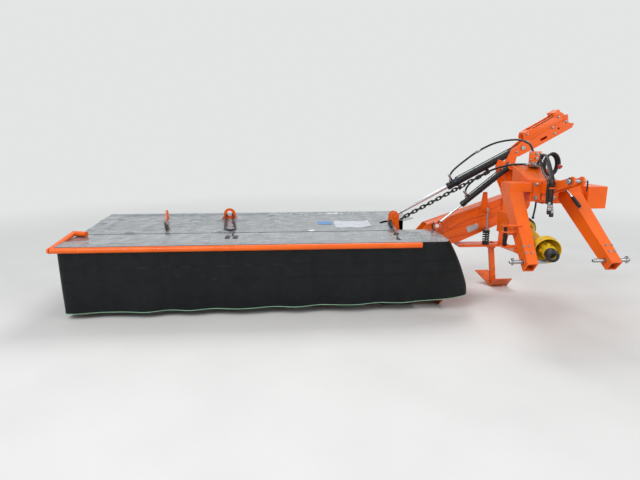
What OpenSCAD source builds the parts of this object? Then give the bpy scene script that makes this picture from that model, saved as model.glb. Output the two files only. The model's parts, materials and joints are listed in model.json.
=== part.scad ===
// Rear-mounted disc mower with a folding cutterbar, parked on its cutterbar and its stand.
// Millimetres, +Z up. The tractor is on the -Y side and the cutterbar reaches out to -X.

/* [Hitch] */
// X of the middle of the hitch
hitch_x = 1535; // [1440:5:1630]
// Distance over the outer shoulders of the two feet
hitch_span = 683; // [660:1:860]
// Diameter of the lower hitch pins
pin_d = 28; // [22:0.5:30]
// Length of the free end of a hitch pin
pin_free = 90; // [70:1:110]
// Height of the lower hitch pins above the ground
pin_z = 580; // [540:5:620]
// Y of the lower hitch pins
pin_y = -930; // [-960:5:-900]
// Height of the top link pin above the lower pins
mast_h = 560; // [520:5:600]
// Diameter of the top link pin
top_pin_d = 25; // [19:0.5:32]
// Clear gap between the two top link plates
top_gap = 56; // [50:1:70]
// Width of a leg at its foot
leg_w = 76; // [66:1:84]
// Width of a leg at its top
leg_top_w = 120; // [100:5:130]
// Wall of the square tubes
wall = 8; // [5:0.5:10]
// Distance from the middle of the hitch to a leg's top
leg_top_dx = 210; // [200:5:220]
// Y of the leg tops
leg_top_y = -400; // [-420:5:-380]
// Height of the leg tops
leg_top_z = 1040; // [1020:5:1060]

/* [Arm] */
// Height of the pivot that carries the arm
arm_pivot_z = 820; // [800:5:850]
// X of the arm pivot, from the middle of the hitch
arm_pivot_dx = 220; // [200:5:240]
// Y of the front face of the arm
arm_front_y = 286; // [280:1:290]
// Width of the arm
arm_w = 148; // [130:1:150]
// Plate of the arm and of the carriers
plate = 12; // [8:1:15]
// X of the pivot between the arm and the cutterbar
bar_pivot_x = 795; // [775:5:815]
// Height of the pivot between the arm and the cutterbar
bar_pivot_z = 450; // [440:5:460]
// Diameter of the two pivot pins
pivot_d = 50; // [40:1:56]
// Running clearance round a pin
run_gap = 0.1; // [0.05:0.05:0.1]
// Side clearance between moving plates
side_gap = 6; // [5:0.5:7]

/* [Cylinders] */
// Outer diameter of the lift cylinder's barrel
lift_d = 66; // [50:1:68]
// Diameter of the lift cylinder's rod
lift_rod_d = 32; // [25:1:36]
// Length of the lift cylinder's barrel from its top pin
lift_barrel_l = 790; // [740:5:820]
// Outer diameter of the relief cylinder's barrel
relief_d = 50; // [44:1:52]
// Diameter of the relief cylinder's rod
relief_rod_d = 22; // [18:1:26]
// Length of the relief cylinder's barrel from its top pin
relief_barrel_l = 560; // [520:5:600]
// Diameter of the pins at the ends of both cylinders
cyl_pin_d = 24; // [20:1:25]

/* [Cutterbar] */
// Number of discs
disc_count = 7; // [7]
// Distance between disc centres
disc_pitch = 400; // [396:1:410]
// X of the inner disc
disc_x0 = 495; // [475:5:515]
// Y of the disc centres
disc_y = -10; // [-20:1:0]
// Half the length of a disc's oval plate
disc_r = 165; // [155:1:170]
// Radius of the circle that the knife tips run on
knife_r = 240; // [225:1:244]
// Width of a knife
knife_w = 48; // [40:1:50]
// Thickness of a knife
knife_t = 4; // [3:0.5:5]
// Width of the gear bed
bed_w = 300; // [280:5:320]
// Height of the gear bed's underside
bed_z = 28; // [26:1:34]
// Height of the gear bed
bed_h = 56; // [50:1:60]

/* [Cover] */
// X of the cover's left end
cover_x0 = -2260; // [-2280:5:-2240]
// X of the cover's right end, at the top
cover_x1 = 885; // [865:5:895]
// Y of the front curtain
cover_front = -330; // [-350:5:-320]
// Y of the rear curtain
cover_rear = 985; // [960:5:1000]
// Height of the top sheet at the fold line
cover_z = 600; // [590:5:620]
// Rise of the top sheet from the fold line to the rear
cover_rise = 50; // [40:5:60]
// Height of the hem above the ground
hem_z = 55; // [40:5:80]
// Thickness of the cover sheet
sheet_t = 4; // [3:0.5:6]
// Y of the line that the front guard folds up about
fold_y = 190; // [180:1:195]
// Diameter of the guard tube
guard_d = 45; // [40:1:50]

/* [Stand] */
// X of the parking stand
stand_x = 1513; // [1495:1:1535]
// Y of the parking stand
stand_y = 330; // [320:1:340]
// Side of the stand's square tube
stand_s = 44; // [36:1:50]
// Lean of the stand: its foot lies further right than its collar
stand_lean = 7; // [0:1:9]
// Height of the beam that the stand slides in
beam_z = 416; // [406:1:422]

/* [Driveline] */
// Outer diameter of the yellow shaft guard
guard_tube_d = 74; // [60:1:90]
// Outer diameter of the guard cone's mouth
cone_d = 186; // [160:1:200]
// Radius of the drive shaft that turns inside
shaft_r = 24; // [20:1:28]

/* [Hidden] */
$fn = 48;

// Colours as the photograph shows them
paint = "#ef5f14";
black = "#1b1c1f";
sheet_grey = "#3a3d42";
steel = "#b9bcc0";
guard_yellow = "#e8c81e";

// Places that several pieces share
arm_y = arm_front_y + arm_w / 2;
arm_back_y = arm_front_y + arm_w;
arm_pivot = [hitch_x + arm_pivot_dx, arm_y, arm_pivot_z];
bar_pivot = [bar_pivot_x, arm_y, bar_pivot_z];
relief_y = arm_front_y - 54;
relief_low = [bar_pivot_x + 135, relief_y, bar_pivot_z + 180];
relief_top = [arm_pivot.x - 160, relief_y, arm_pivot_z + 355];
mast_gap = lift_d + 2 * side_gap;
lift_y = arm_back_y + side_gap + 2 * plate + mast_gap / 2;
lift_low = [bar_pivot_x - 205, lift_y, bar_pivot_z + 230];
lift_top = [arm_pivot.x + 55, lift_y, arm_pivot_z + 510];
top_pin_z = pin_z + mast_h;
foot_x = hitch_span / 2 - leg_w / 2;
cheek_front_y = arm_front_y - side_gap;
cheek_back_y = arm_back_y + side_gap;
disc_z = bed_z + bed_h + 22;
beam_t = 20;

// Box from its lowest to its highest corner
module block(lo, hi) {
    translate(lo) cube(hi - lo);
}

// Round bar from one point to another
module rod(p, q, r) {
    v = q - p;
    translate(p) rotate([0, acos(v.z / norm(v)), atan2(v.y, v.x)]) cylinder(h = norm(v), r = r);
}

// Round bar along Y through the point p
module pin_y_at(p, y0, y1, r) {
    translate([p.x, y1, p.z]) rotate([90, 0, 0]) cylinder(h = y1 - y0, r = r);
}

// Plate whose outline lies in X and Z, from y0 to y1
module side_plate(y0, y1) {
    translate([0, y1, 0]) rotate([90, 0, 0]) linear_extrude(y1 - y0) children();
}

// Plate whose outline lies in Y and Z, from x0 to x1
module cross_plate(x0, x1) {
    translate([x0, 0, 0]) rotate([90, 0, 90]) linear_extrude(x1 - x0) children();
}

// Place children at p with +X along the line from p to q, both in one XZ plane
module along(p, q) {
    translate(p) rotate([0, -atan2(q.z - p.z, q.x - p.x), 0]) children();
}

// Line of a leg from the hitch pin up to the crossbeam
leg_a = atan2(leg_top_z - pin_z, leg_top_y - pin_y);
leg_l = norm([leg_top_z - pin_z, leg_top_y - pin_y]);
foot_half = 46;
root_half = 66;
leg_foot = -50;

// Solid of a leg less an inset: its side outline crossed with its front outline, both tapered
module leg_solid(side, inset, start) {
    top_x = -side * (foot_x - leg_top_dx);
    intersection() {
        cross_plate(-foot_x, foot_x) intersection() {
            rotate(leg_a) polygon([[start, -foot_half + inset], [leg_l + 90, -root_half + inset],
                [leg_l + 90, root_half - inset], [start, foot_half - inset]]);
            translate([-foot_x, -foot_x]) square([3 * foot_x, foot_x + bar_low + wall - pin_z]);
        }
        rotate([leg_a, 0, 0]) translate([0, 0, -foot_x]) linear_extrude(2 * foot_x)
            polygon([[-leg_w / 2 + inset, start], [top_x - leg_top_w / 2 + inset, leg_l + 90],
                [top_x + leg_top_w / 2 - inset, leg_l + 90], [leg_w / 2 - inset, start]]);
    }
}

// Square tube, open at its foot, with a boss round the hitch pin
boss_r = 26;
shoulder_t = 2;
module leg(side) {
    x = hitch_x + side * foot_x;
    difference() {
        union() {
            translate([x, pin_y, pin_z]) difference() {
                leg_solid(side, 0, leg_foot);
                leg_solid(side, wall, leg_foot - 1);
            }
            rod([x - leg_w / 2, pin_y, pin_z], [x + leg_w / 2, pin_y, pin_z], boss_r);
        }
        rod([x - leg_w, pin_y, pin_z], [x + leg_w, pin_y, pin_z], pin_d / 2 + shoulder_t + run_gap);
    }
}

// Crossbeam that joins the leg tops to the sides of the head block
bar_low = leg_top_z - 18;
bar_high = leg_top_z + 49;
bar_front = leg_top_y - 115;
bar_back = leg_top_y + 45;
bar_end = leg_top_dx + leg_top_w / 2 + 12;
module crossbeam(side) {
    x0 = hitch_x + side * (bar_end + head_half) / 2 - (bar_end - head_half) / 2;
    x1 = x0 + bar_end - head_half;
    difference() {
        block([x0, bar_front, bar_low], [x1, bar_back, bar_high]);
        block([x0 + wall, bar_front + wall, bar_low + wall], [x1 - wall, bar_back - wall, bar_high - wall]);
    }
}

// Head block: a bolted box whose top rises to the rear
head_half = 112;
head_front = leg_top_y - 110;
head_back = head_front + 330;
head_low = leg_top_z - 94;
head_top_front = leg_top_z + 68;
head_top_back = leg_top_z + 160;
module head_block() {
    difference() {
        cross_plate(hitch_x - head_half, hitch_x + head_half)
            polygon([[head_front, head_low], [head_back, head_low], [head_back, head_top_back],
                [head_front + 60, head_top_front + 4], [head_front, head_top_front]]);
        cross_plate(hitch_x - head_half + plate, hitch_x + head_half - plate)
            polygon([[head_front + plate, head_low - 1], [head_back - plate, head_low - 1],
                [head_back - plate, head_top_back - 2 * plate], [head_front + 70, head_top_front - plate],
                [head_front + plate, head_top_front - plate]]);
    }
}

// Spine from the head block back to the turret over the arm
spine_x0 = hitch_x + 100;
spine_x1 = hitch_x + 215;
spine_low = arm_pivot_z + 200;
spine_top = spine_low + 150;
module spine() {
    difference() {
        block([spine_x0, head_back - plate, spine_low], [spine_x1, cheek_back_y, spine_top]);
        block([spine_x0 + wall, head_back, spine_low + wall], [spine_x1 - wall, cheek_back_y - wall, spine_top - wall]);
    }
}

// The two cheeks that hold the arm pivot
cheek_r = 80;
module cheek(y0, y1) {
    side_plate(y0, y1) union() {
        translate([arm_pivot.x, arm_pivot.z]) circle(cheek_r);
        polygon([[arm_pivot.x - cheek_r, arm_pivot.z], [arm_pivot.x + cheek_r, arm_pivot.z],
            [spine_x1, spine_low + 40], [spine_x1, spine_top], [relief_top.x - 20, relief_top.z + 45],
            [relief_top.x - 45, relief_top.z - 20], [spine_x0 - 60, spine_low]]);
    }
}

// Post in front of the arm, from the cheek down to the stand beam
post_x = hitch_x + 70;
module post() {
    side_plate(cheek_front_y - plate, cheek_front_y)
        polygon([[post_x - 50, beam_z + beam_t], [post_x + 30, beam_z + beam_t],
            [arm_pivot.x - 20, arm_pivot.z], [spine_x0 + 40, spine_low + 30], [spine_x0 - 60, spine_low]]);
}

// Plain pin that the relief cylinder's top eye turns on
module relief_top_stub() {
    pin_y_at(relief_top, relief_y - 32, cheek_front_y - plate, cyl_pin_d / 2);
    pin_y_at(relief_top, relief_y - 38, relief_y - 30, cyl_pin_d / 2 + 8);
}

module headstock() {
    color(paint) {
        for (side = [-1, 1]) {
            leg(side);
            crossbeam(side);
        }
        head_block();
        spine();
        difference() {
            union() {
                cheek(cheek_front_y - plate, cheek_front_y);
                cheek(cheek_back_y, cheek_back_y + plate);
                post();
            }
            pin_y_at(arm_pivot, cheek_front_y - plate - 1, cheek_back_y + plate + 1, pivot_d / 2 + run_gap);
        }
        relief_top_stub();
    }
}

// Lower hitch pins through the feet, thicker inside them and with turned ends, and the top link pin
module hitch_pin(side) {
    x = hitch_x + side * foot_x;
    half = leg_w / 2 + pin_free;
    difference() {
        union() {
            rod([x - half, pin_y, pin_z], [x + half, pin_y, pin_z], pin_d / 2);
            rod([x - leg_w / 2, pin_y, pin_z], [x + leg_w / 2, pin_y, pin_z], pin_d / 2 + shoulder_t);
            for (s = [-1, 1])
                translate([x + s * half, pin_y, pin_z]) rotate([0, s * 90, 0])
                    cylinder(h = 10, r1 = pin_d / 2, r2 = pin_d / 2 - 5);
        }
        for (s = [-1, 1])
            translate([x + s * (half - 12), pin_y, pin_z - pin_d]) cylinder(h = 2 * pin_d, r = 5.5);
    }
}

top_pin_y = pin_y + 20;
module top_link_pin() {
    half = top_gap / 2 + plate;
    rod([hitch_x - half - 22, top_pin_y, top_pin_z], [hitch_x + half + 22, top_pin_y, top_pin_z], top_pin_d / 2);
    rod([hitch_x - half - 30, top_pin_y, top_pin_z], [hitch_x - half - 22, top_pin_y, top_pin_z], top_pin_d / 2 + 7);
}

module hitch_pins() {
    color(steel) {
        for (side = [-1, 1]) hitch_pin(side);
        top_link_pin();
    }
}

// Two plates that carry the top link, bolted to the front of the head block
link_eye_r = 32;
module top_link_plates() {
    color(paint) {
        for (side = [-1, 1]) {
            x0 = hitch_x + side * (top_gap + plate) / 2 - plate / 2;
            difference() {
                cross_plate(x0, x0 + plate) union() {
                    translate([top_pin_y, top_pin_z]) circle(link_eye_r);
                    polygon([[top_pin_y - 8, top_pin_z + link_eye_r - 2], [head_front - 120, head_top_front - 12],
                        [head_front, head_top_front - 22], [head_front, head_low + 62],
                        [head_front - 60, head_low + 66], [top_pin_y + 12, top_pin_z - link_eye_r + 2]]);
                }
                rod([x0 - 1, top_pin_y, top_pin_z], [x0 + plate + 1, top_pin_y, top_pin_z], top_pin_d / 2 + run_gap);
            }
        }
        difference() {
            block(clip + [-56, -16, 0], clip + [0, 16, 10]);
            for (dx = [-41, -19])
                translate(clip + [dx, 0, -1]) cylinder(h = 12, r = hose_r + 0.4);
        }
        difference() {
            block([hitch_x - 96, head_front - plate, head_low + 14], [hitch_x + 96, head_front, head_top_front - 12]);
            for (side = [-1, 1])
                block([hitch_x + side * (top_gap + plate) / 2 - plate / 2, head_front - plate - 1, head_low],
                    [hitch_x + side * (top_gap + plate) / 2 + plate / 2, head_front + 1, head_top_front]);
        }
    }
}

// Inclined mast: two cheeks that hold the lift cylinder's top pin, joined by an end block
mast_a = 29;
mast_l = 500;
mast_start = -110;
module mast_outline() {
    translate([lift_top.x, lift_top.z]) rotate(mast_a) difference() {
        union() {
            polygon([[mast_start, -40], [-60, -56], [60, -60], [mast_l, -60], [mast_l + 34, -34], [mast_l - 12, 0],
                [mast_l + 6, 60], [60, 60], [0, 52], [mast_start, 30]]);
            translate([mast_l - 46, 44]) square([52, 32]);
        }
        translate([190, -20]) circle(12);
        translate([240, -20]) circle(12);
        translate([190, -32]) square([50, 24]);
        translate([380, -4]) circle(11);
    }
}

module mast() {
    y0 = lift_y - mast_gap / 2;
    y1 = lift_y + mast_gap / 2;
    color(paint) {
        difference() {
            union() {
                side_plate(y0 - plate, y0) mast_outline();
                side_plate(y1, y1 + plate) mast_outline();
                along(lift_top, lift_top + [cos(mast_a), 0, sin(mast_a)]) {
                    block([mast_l - 46, y0 - lift_y, 44], [mast_l + 6, y1 - lift_y, 76]);
                    block([120, y0 - lift_y, -60], [mast_l - 60, y1 - lift_y, -48]);
                    block([mast_l - 150, y0 - lift_y, -48], [mast_l - 138, y1 - lift_y, 60]);
                }
            }
            pin_y_at(lift_top, y0 - plate - 1, y1 + plate + 1, cyl_pin_d / 2 + run_gap);
        }
        side_plate(y0 - plate, y0)
            polygon([[spine_x0 - 20, spine_top - 30], [spine_x1 - 10, spine_top - 30], [lift_top.x - 50, lift_top.z - 60],
                [lift_top.x - 60, lift_top.z + 10], [lift_top.x - 110, lift_top.z - 20]]);
    }
}

// Pin that the lift cylinder's barrel hangs on, between the cheeks of the mast
module lift_pin() {
    half = mast_gap / 2 + plate;
    color(steel) {
        pin_y_at(lift_top, lift_y - half - 14, lift_y + half + 14, cyl_pin_d / 2);
        for (s = [-1, 1])
            translate([0, s * (half + 9), 0]) pin_y_at(lift_top, lift_y - 5, lift_y + 5, cyl_pin_d / 2 + 8);
    }
}

// Closed box at the end of a square tube on the right
end_x0 = hitch_x + 470;
end_x1 = end_x0 + 160;
end_low = leg_top_z - 182;
module end_box() {
    color(paint) {
        block([end_x0, head_front + 180, end_low], [end_x1, head_front + 430, end_low + 180]);
        difference() {
            block([hitch_x + head_half, head_front + 220, end_low + 40], [end_x0, head_front + 320, end_low + 140]);
            block([hitch_x + head_half + 1, head_front + 220 + wall, end_low + 40 + wall],
                [end_x0 - 1, head_front + 320 - wall, end_low + 140 - wall]);
        }
        block([end_x0 - 60, head_front + 200, end_low + 20], [end_x0 - 60 + plate, head_front + 340, end_low + 160]);
    }
}

// Height of the head block's sloping top at y
function head_top_at(y) = head_top_front + 4
    + (y - head_front - 60) / (head_back - head_front - 60) * (head_top_back - head_top_front - 4);

// Valve plate that stands on the head block, with the hydraulic block in front of it
valve_y = head_back - 24;
valve_z = head_top_at(valve_y + 10);
valve_x = hitch_x + 10;
module valve_block() {
    color(paint) cross_plate(valve_x, valve_x + 102)
        polygon([[valve_y, head_top_at(valve_y)], [valve_y + 10, head_top_at(valve_y + 10)],
            [valve_y + 10, valve_z + 124], [valve_y, valve_z + 124]]);
    color(steel) {
        block([valve_x - 6, valve_y - 70, valve_z + 2], [valve_x + 84, valve_y, valve_z + 34]);
        for (dz = [70, 106])
            translate([valve_x + 60, valve_y - 12, valve_z + dz]) rotate([-90, 0, 0]) cylinder(h = 12, r = 11);
    }
}

// Lever that hangs below the crossbeam at the right leg: a steel rod with a black grip
lever_top = [hitch_x + 163, bar_front - 6, bar_low + 15];
lever_mid = lever_top + [18, -64, -50];
lever_end = lever_mid + [20, -66, -58];
module hand_lever() {
    color(steel) {
        rod(lever_top, lever_mid, 8);
        pin_y_at(lever_top, lever_top.y - 12, bar_front, 12);
    }
    color(black) rod(lever_mid, lever_end, 13);
}

// Place children at the stand's collar, -Z down along the stand
module on_stand() {
    translate([stand_x, stand_y, beam_z]) rotate([0, -stand_lean, 0]) children();
}

// Beam under the arm that the stand slides in, with its collar
collar_t = 8;
collar_drop = 34;
stand_gap = 0.5;
module stand_beam() {
    hole = stand_s / 2 + stand_gap;
    color(paint) difference() {
        union() {
            block([bar_pivot_x + 365, relief_y - 8, beam_z], [post_x + 40, stand_y + stand_s, beam_z + beam_t]);
            on_stand() block([-hole - collar_t, -hole - collar_t, -collar_drop], [hole + collar_t, hole + collar_t, beam_t / 2]);
        }
        on_stand() block([-hole, -hole, -collar_drop - 20], [hole, hole, beam_t + 30]);
    }
}

// Fork plates on the left leg with an upright spring pin, and the brace back to the stand beam
fork_x = hitch_x - foot_x - leg_w / 2;
fork_y = pin_y + 190;
fork_z = pin_z + 175;
module leg_bracket() {
    color(paint) difference() {
        union() {
            for (z = [fork_z, fork_z + 46, fork_z - 110])
                block([fork_x - 84, fork_y - 26, z], [fork_x + 60, fork_y + 26, z + 8]);
            hull() {
                block([fork_x + 10, pin_y + 120, pin_z + 30], [fork_x + 50, pin_y + 170, pin_z + 60]);
                block([post_x - 50, relief_y - 28, beam_z], [post_x + 30, relief_y - 8, beam_z + beam_t]);
            }
        }
        translate([hitch_x - foot_x, pin_y, pin_z]) leg_solid(-1, -0.3, leg_foot);
        rod([fork_x - 56, fork_y, fork_z - 111], [fork_x - 56, fork_y, fork_z + 60], spring_pin_r + run_gap);
    }
    color(black) {
        rod([fork_x - 56, fork_y, fork_z - 104], [fork_x - 56, fork_y, fork_z + 68], spring_pin_r);
        rod([fork_x - 56, fork_y, fork_z + 54.3], [fork_x - 56, fork_y, fork_z + 62], spring_pin_r + 7);
    }
}
spring_pin_r = 12;

// Input gearbox under the head block
shaft_back = [hitch_x - 30, -280, 712];
shaft_front = [hitch_x - 140, -880, 642];
module input_gearbox() {
    g = shaft_back + [-30, 22, 3];
    color(paint) difference() {
        union() {
            block([g.x - 85, g.y + 20, g.z - 90], [g.x + 85, g.y + 220, g.z + 90]);
            block([g.x - 60, g.y + 20, g.z + 90], [g.x + 60, head_back, head_low]);
            translate([g.x, g.y + 20, g.z]) rotate([90, 0, 0]) cylinder(h = 22, r = 70);
            on_shaft() translate([0, 0, -shaft_in - 10]) cylinder(h = shaft_in + 10, r = 50);
        }
        on_shaft() translate([0, 0, -shaft_in - 2]) cylinder(h = shaft_in + 3, r = shaft_r + run_gap);
    }
}

// Place children on the shaft's axis, +Z from the back to the front; its back end is in the gearbox's boss
shaft_in = 28;
shaft_v = shaft_front - shaft_back;
shaft_l = norm(shaft_v);
module on_shaft() {
    translate(shaft_back)
        rotate([0, acos(shaft_v.z / shaft_l), atan2(shaft_v.y, shaft_v.x)]) children();
}

// Yellow guard: tube and cones, and the black bell at the gearbox, as one turned shell each
module pto_guard() {
    color(guard_yellow) on_shaft() rotate_extrude()
        polygon([[guard_tube_d / 2, 90], [guard_tube_d / 2, shaft_l - 150], [cone_d / 2 - 8, shaft_l - 70],
            [cone_d / 2, shaft_l - 66], [cone_d / 2, shaft_l], [cone_d / 2 - 5, shaft_l],
            [cone_d / 2 - 5, shaft_l - 62], [guard_tube_d / 2 - 4, shaft_l - 144], [guard_tube_d / 2 - 4, 90]]);
    color(black) on_shaft() rotate_extrude()
        polygon([[36, 0], [78, 0], [80, 60], [70, 96], [guard_tube_d / 2, 120], [guard_tube_d / 2, 90],
            [64, 88], [74, 56], [72, 4], [36, 4]]);
}

// Shaft with its front yoke and quick-release collar
module pto_shaft() {
    color(guard_yellow) on_shaft() {
        translate([0, 0, -shaft_in]) cylinder(h = shaft_l - 80 + shaft_in, r = shaft_r);
        difference() {
            translate([0, 0, shaft_l - 80]) cylinder(h = 96, r = 50);
            translate([-60, -22, shaft_l - 46]) cube([120, 44, 70]);
            translate([-60, 40, shaft_l - 81]) cube([120, 30, 100]);
            translate([-60, -70, shaft_l - 81]) cube([120, 30, 100]);
        }
        translate([-54, 0, shaft_l - 6]) rotate([0, 90, 0]) cylinder(h = 108, r = 13);
        translate([0, -54, shaft_l - 6]) rotate([-90, 0, 0]) cylinder(h = 108, r = 13);
        difference() {
            translate([0, 0, shaft_l - 10]) cylinder(h = 60, r = 47);
            translate([-22, -60, shaft_l - 11]) cube([44, 120, 34]);
            translate([40, -60, shaft_l - 11]) cube([30, 120, 62]);
            translate([-70, -60, shaft_l - 11]) cube([30, 120, 62]);
            translate([0, 0, shaft_l + 24]) cylinder(h = 60, r = 17.5);
        }
    }
    color(black) on_shaft() difference() {
        translate([0, 0, shaft_l + 50]) cylinder(h = 62, r = 40);
        translate([0, 0, shaft_l + 49]) cylinder(h = 70, r = 17.5);
    }
}

// Ring of points round the route's point i, square to the route there
function unit(v) = v / norm(v);
function way(p, i) = unit(p[min(i + 1, len(p) - 1)] - p[max(i - 1, 0)]);
function ring(p, i, r, n) = let (t = way(p, i), a = unit(cross(t, abs(t.y) > 0.9 ? [1, 0, 0] : [0, 1, 0])),
    b = cross(t, a)) [for (k = [0:n - 1]) p[i] + r * (cos(360 * k / n) * a + sin(360 * k / n) * b)];

// Smooth route through hand-set points, m steps to a stretch
function knot(p, i) = p[max(0, min(len(p) - 1, i))];
function curve_at(p, i, t) = 0.5 * (2 * knot(p, i) + t * (knot(p, i + 1) - knot(p, i - 1))
    + t * t * (2 * knot(p, i - 1) - 5 * knot(p, i) + 4 * knot(p, i + 1) - knot(p, i + 2))
    + t * t * t * (3 * knot(p, i) - knot(p, i - 1) - 3 * knot(p, i + 1) + knot(p, i + 2)));
function smooth(p, m) = [for (i = [0:len(p) - 2]) for (k = [0:m - 1]) curve_at(p, i, k / m), p[len(p) - 1]];

module sweep(p, r, n) {
    rings = [for (i = [0:len(p) - 1]) each ring(p, i, r, n)];
    last = (len(p) - 1) * n;
    polyhedron(rings, concat([[for (k = [0:n - 1]) k]], [[for (k = [0:n - 1]) last + n - 1 - k]],
        [for (i = [0:len(p) - 2]) for (k = [0:n - 1])
            [i * n + k, (i + 1) * n + k, (i + 1) * n + (k + 1) % n, i * n + (k + 1) % n]]));
}

hose_r = 9;
// Point beside the line from p to q: s along it, h square to it on the upper side
function beside(p, q, s, h) = let (u = unit(q - p)) p + s * u + h * [u.z, 0, -u.x];
lift_port_s = lift_barrel_l - 60;
lift_port_h = lift_d / 2 + 24;
relief_port_s = relief_barrel_l - 90;
relief_port_h = relief_d / 2 + 20;
// Hose from the lift cylinder's port over to the top fitting of the valve plate
lift_hose_route = concat([for (e = [0.05, 14, 28]) beside(lift_top, lift_low, lift_port_s, lift_port_h + e)],
    [[1160, 495, 1120], [1250, 460, 1210], [1350, 400, 1300], [1460, 270, 1380], [1560, 80, 1410], [1602, -60, 1380],
    [1605, -140, 1315], [1605, -168, valve_z + 106], [1605, -182, valve_z + 106], [1605, valve_y + 10, valve_z + 106]]);
// Hose from the relief cylinder's port to the side of the valve block
relief_hose_route = concat([for (e = [0.05, 12, 24]) beside(relief_top, relief_low, relief_port_s, relief_port_h + e)],
    [[1200, 216, 990], [1250, 150, 1070], [1340, 40, 1150], [1420, -100, 1200], [1470, -210, 1214], [1505, -240, valve_z + 18],
    [1522, -240, valve_z + 18], [valve_x - 6, -240, valve_z + 18]]);
// Hoses from the front of the valve block that hang in a loop and run down through a clip beside the link plates
clip = [hitch_x - top_gap / 2 - plate, -721, 1068];
valve_front = [0, valve_y - 70, valve_z + 18];
loop_route = [valve_front + [valve_x + 14, 0, 0], valve_front + [valve_x + 14, -12, 0], valve_front + [valve_x + 14, -24, 0],
    [1552, -380, 1270], [1530, -470, 1300], [1510, -560, 1270], [1490, -650, 1200], clip + [-19, 1, 60], clip + [-19, 0, 20],
    clip + [-19, 0, -20], clip + [-19, 0, -70], clip + [-18, -5, -140]];
loop_route_2 = [valve_front + [valve_x + 54, 0, 0], valve_front + [valve_x + 54, -12, 0], valve_front + [valve_x + 54, -24, 0],
    [1580, -380, 1240], [1540, -480, 1250], [1510, -570, 1210], [1480, -660, 1160], clip + [-41, 1, 50], clip + [-41, 0, 20],
    clip + [-41, 0, -20], clip + [-41, 0, -60], clip + [-39, -5, -120]];

module lift_hose() {
    color(black) sweep(smooth(lift_hose_route, 4), hose_r, 8);
}

module relief_hose() {
    color(black) sweep(smooth(relief_hose_route, 4), hose_r, 8);
}

module hose_loops() {
    color(black) {
        sweep(smooth(loop_route, 3), hose_r, 8);
        sweep(smooth(loop_route_2, 3), hose_r, 8);
    }
}

module arm_pin() {
    color(steel) {
        pin_y_at(arm_pivot, cheek_front_y - plate - 14, cheek_back_y + plate - 1, pivot_d / 2);
        pin_y_at(arm_pivot, cheek_front_y - plate - 22, cheek_front_y - plate - 14, pivot_d / 2 + 9);
    }
}

// Stand leg: square tube on a foot folded from plate, one wing up to the front and one to the rear
foot_t = 10;
foot_w = 168;
fold_dx = 10;
fold_dy = -32;
front_wing = [138, 150];
rear_wing = [27, 224];
stand_down = (beam_z - 26) / cos(stand_lean);
stand_up = 24;
stand_wall = 5;
module stand_leg() {
    color(paint) {
        on_stand() difference() {
            block([-stand_s / 2, -stand_s / 2, -stand_down], [stand_s / 2, stand_s / 2, stand_up]);
            block([-stand_s / 2 + stand_wall, -stand_s / 2 + stand_wall, -stand_down + 30],
                [stand_s / 2 - stand_wall, stand_s / 2 - stand_wall, stand_up + 1]);
        }
        translate([stand_x + fold_dx, stand_y + fold_dy, 0]) {
            translate([-1, -foot_t, 0]) cube([foot_w * 0.7 + 2, 2 * foot_t, foot_t + 2]);
            translate([0, 0, 1.5]) rotate([front_wing[0], 0, 0]) translate([0, 0, -foot_t]) linear_extrude(foot_t)
                polygon([[0, 0], [foot_w, 0], [foot_w - 8, front_wing[1]], [0, front_wing[1]]]);
            translate([0, 0, 1.5]) rotate([rear_wing[0], 0, 0]) linear_extrude(foot_t)
                polygon([[0, 0], [foot_w * 0.7, 0], [foot_w * 0.3, rear_wing[1]], [-80, rear_wing[1]]]);
        }
    }
}

// Arm: two pressed side plates joined along the top, with steps pressed in for stiffness
arm_top_a = [bar_pivot_x + 60, bar_pivot_z + 176];
arm_top_b = [arm_pivot.x - 150, arm_pivot.z + 62];
arm_low_a = [bar_pivot_x + 375, bar_pivot_z + 2];
arm_low_b = [arm_pivot.x - 110, arm_pivot.z - 160];
module arm_outline() {
    translate([bar_pivot.x, bar_pivot.z]) circle(72);
    translate([arm_pivot.x, arm_pivot.z]) circle(72);
    polygon([[bar_pivot.x - 68, bar_pivot.z + 24], arm_top_a, arm_top_b, [arm_pivot.x + 10, arm_pivot.z + 70],
        [arm_pivot.x + 20, arm_pivot.z - 68], arm_low_b, arm_low_a, [bar_pivot.x + 20, bar_pivot.z - 69]]);
}

module arm_beam() {
    difference() {
        color(paint) union() {
            side_plate(arm_front_y, arm_front_y + wall) arm_outline();
            side_plate(arm_back_y - wall, arm_back_y) arm_outline();
            side_plate(arm_front_y + wall, arm_back_y - wall) difference() {
                polygon([arm_top_a + [10, 0], arm_top_b, arm_low_b, arm_low_a]);
                polygon([arm_top_a + [-wall, -wall], arm_top_b + [-wall, -wall], arm_low_b + [-wall, wall],
                    arm_low_a + [-3 * wall, 0], arm_low_a + [-20 * wall, -wall]]);
            }
            side_plate(arm_front_y + wall, arm_back_y - wall)
                translate([arm_pivot.x, arm_pivot.z]) circle(46);
            pin_y_at(relief_low, relief_y + eye_half + seat_gap, arm_front_y, cyl_pin_d);
            side_plate(arm_front_y - plate, arm_front_y)
                polygon([[bar_pivot_x + 560, bar_pivot_z + 290], [bar_pivot_x + 640, bar_pivot_z + 310],
                    [bar_pivot_x + 622, bar_pivot_z + 480], [bar_pivot_x + 586, bar_pivot_z + 480]]);
            block([spring_x - 24, relief_y - 20, lug_z], [spring_x + 22, arm_front_y, lug_z + 10]);
        }
        translate([spring_x, relief_y, lug_z - 1]) cylinder(h = 12, r = 8 + run_gap);
        pin_y_at(arm_pivot, arm_front_y - 1, arm_back_y + 1, pivot_d / 2 + run_gap);
        pin_y_at(bar_pivot, arm_front_y - 1, arm_back_y + 1, pivot_d / 2 + run_gap);
    }
}

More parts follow.
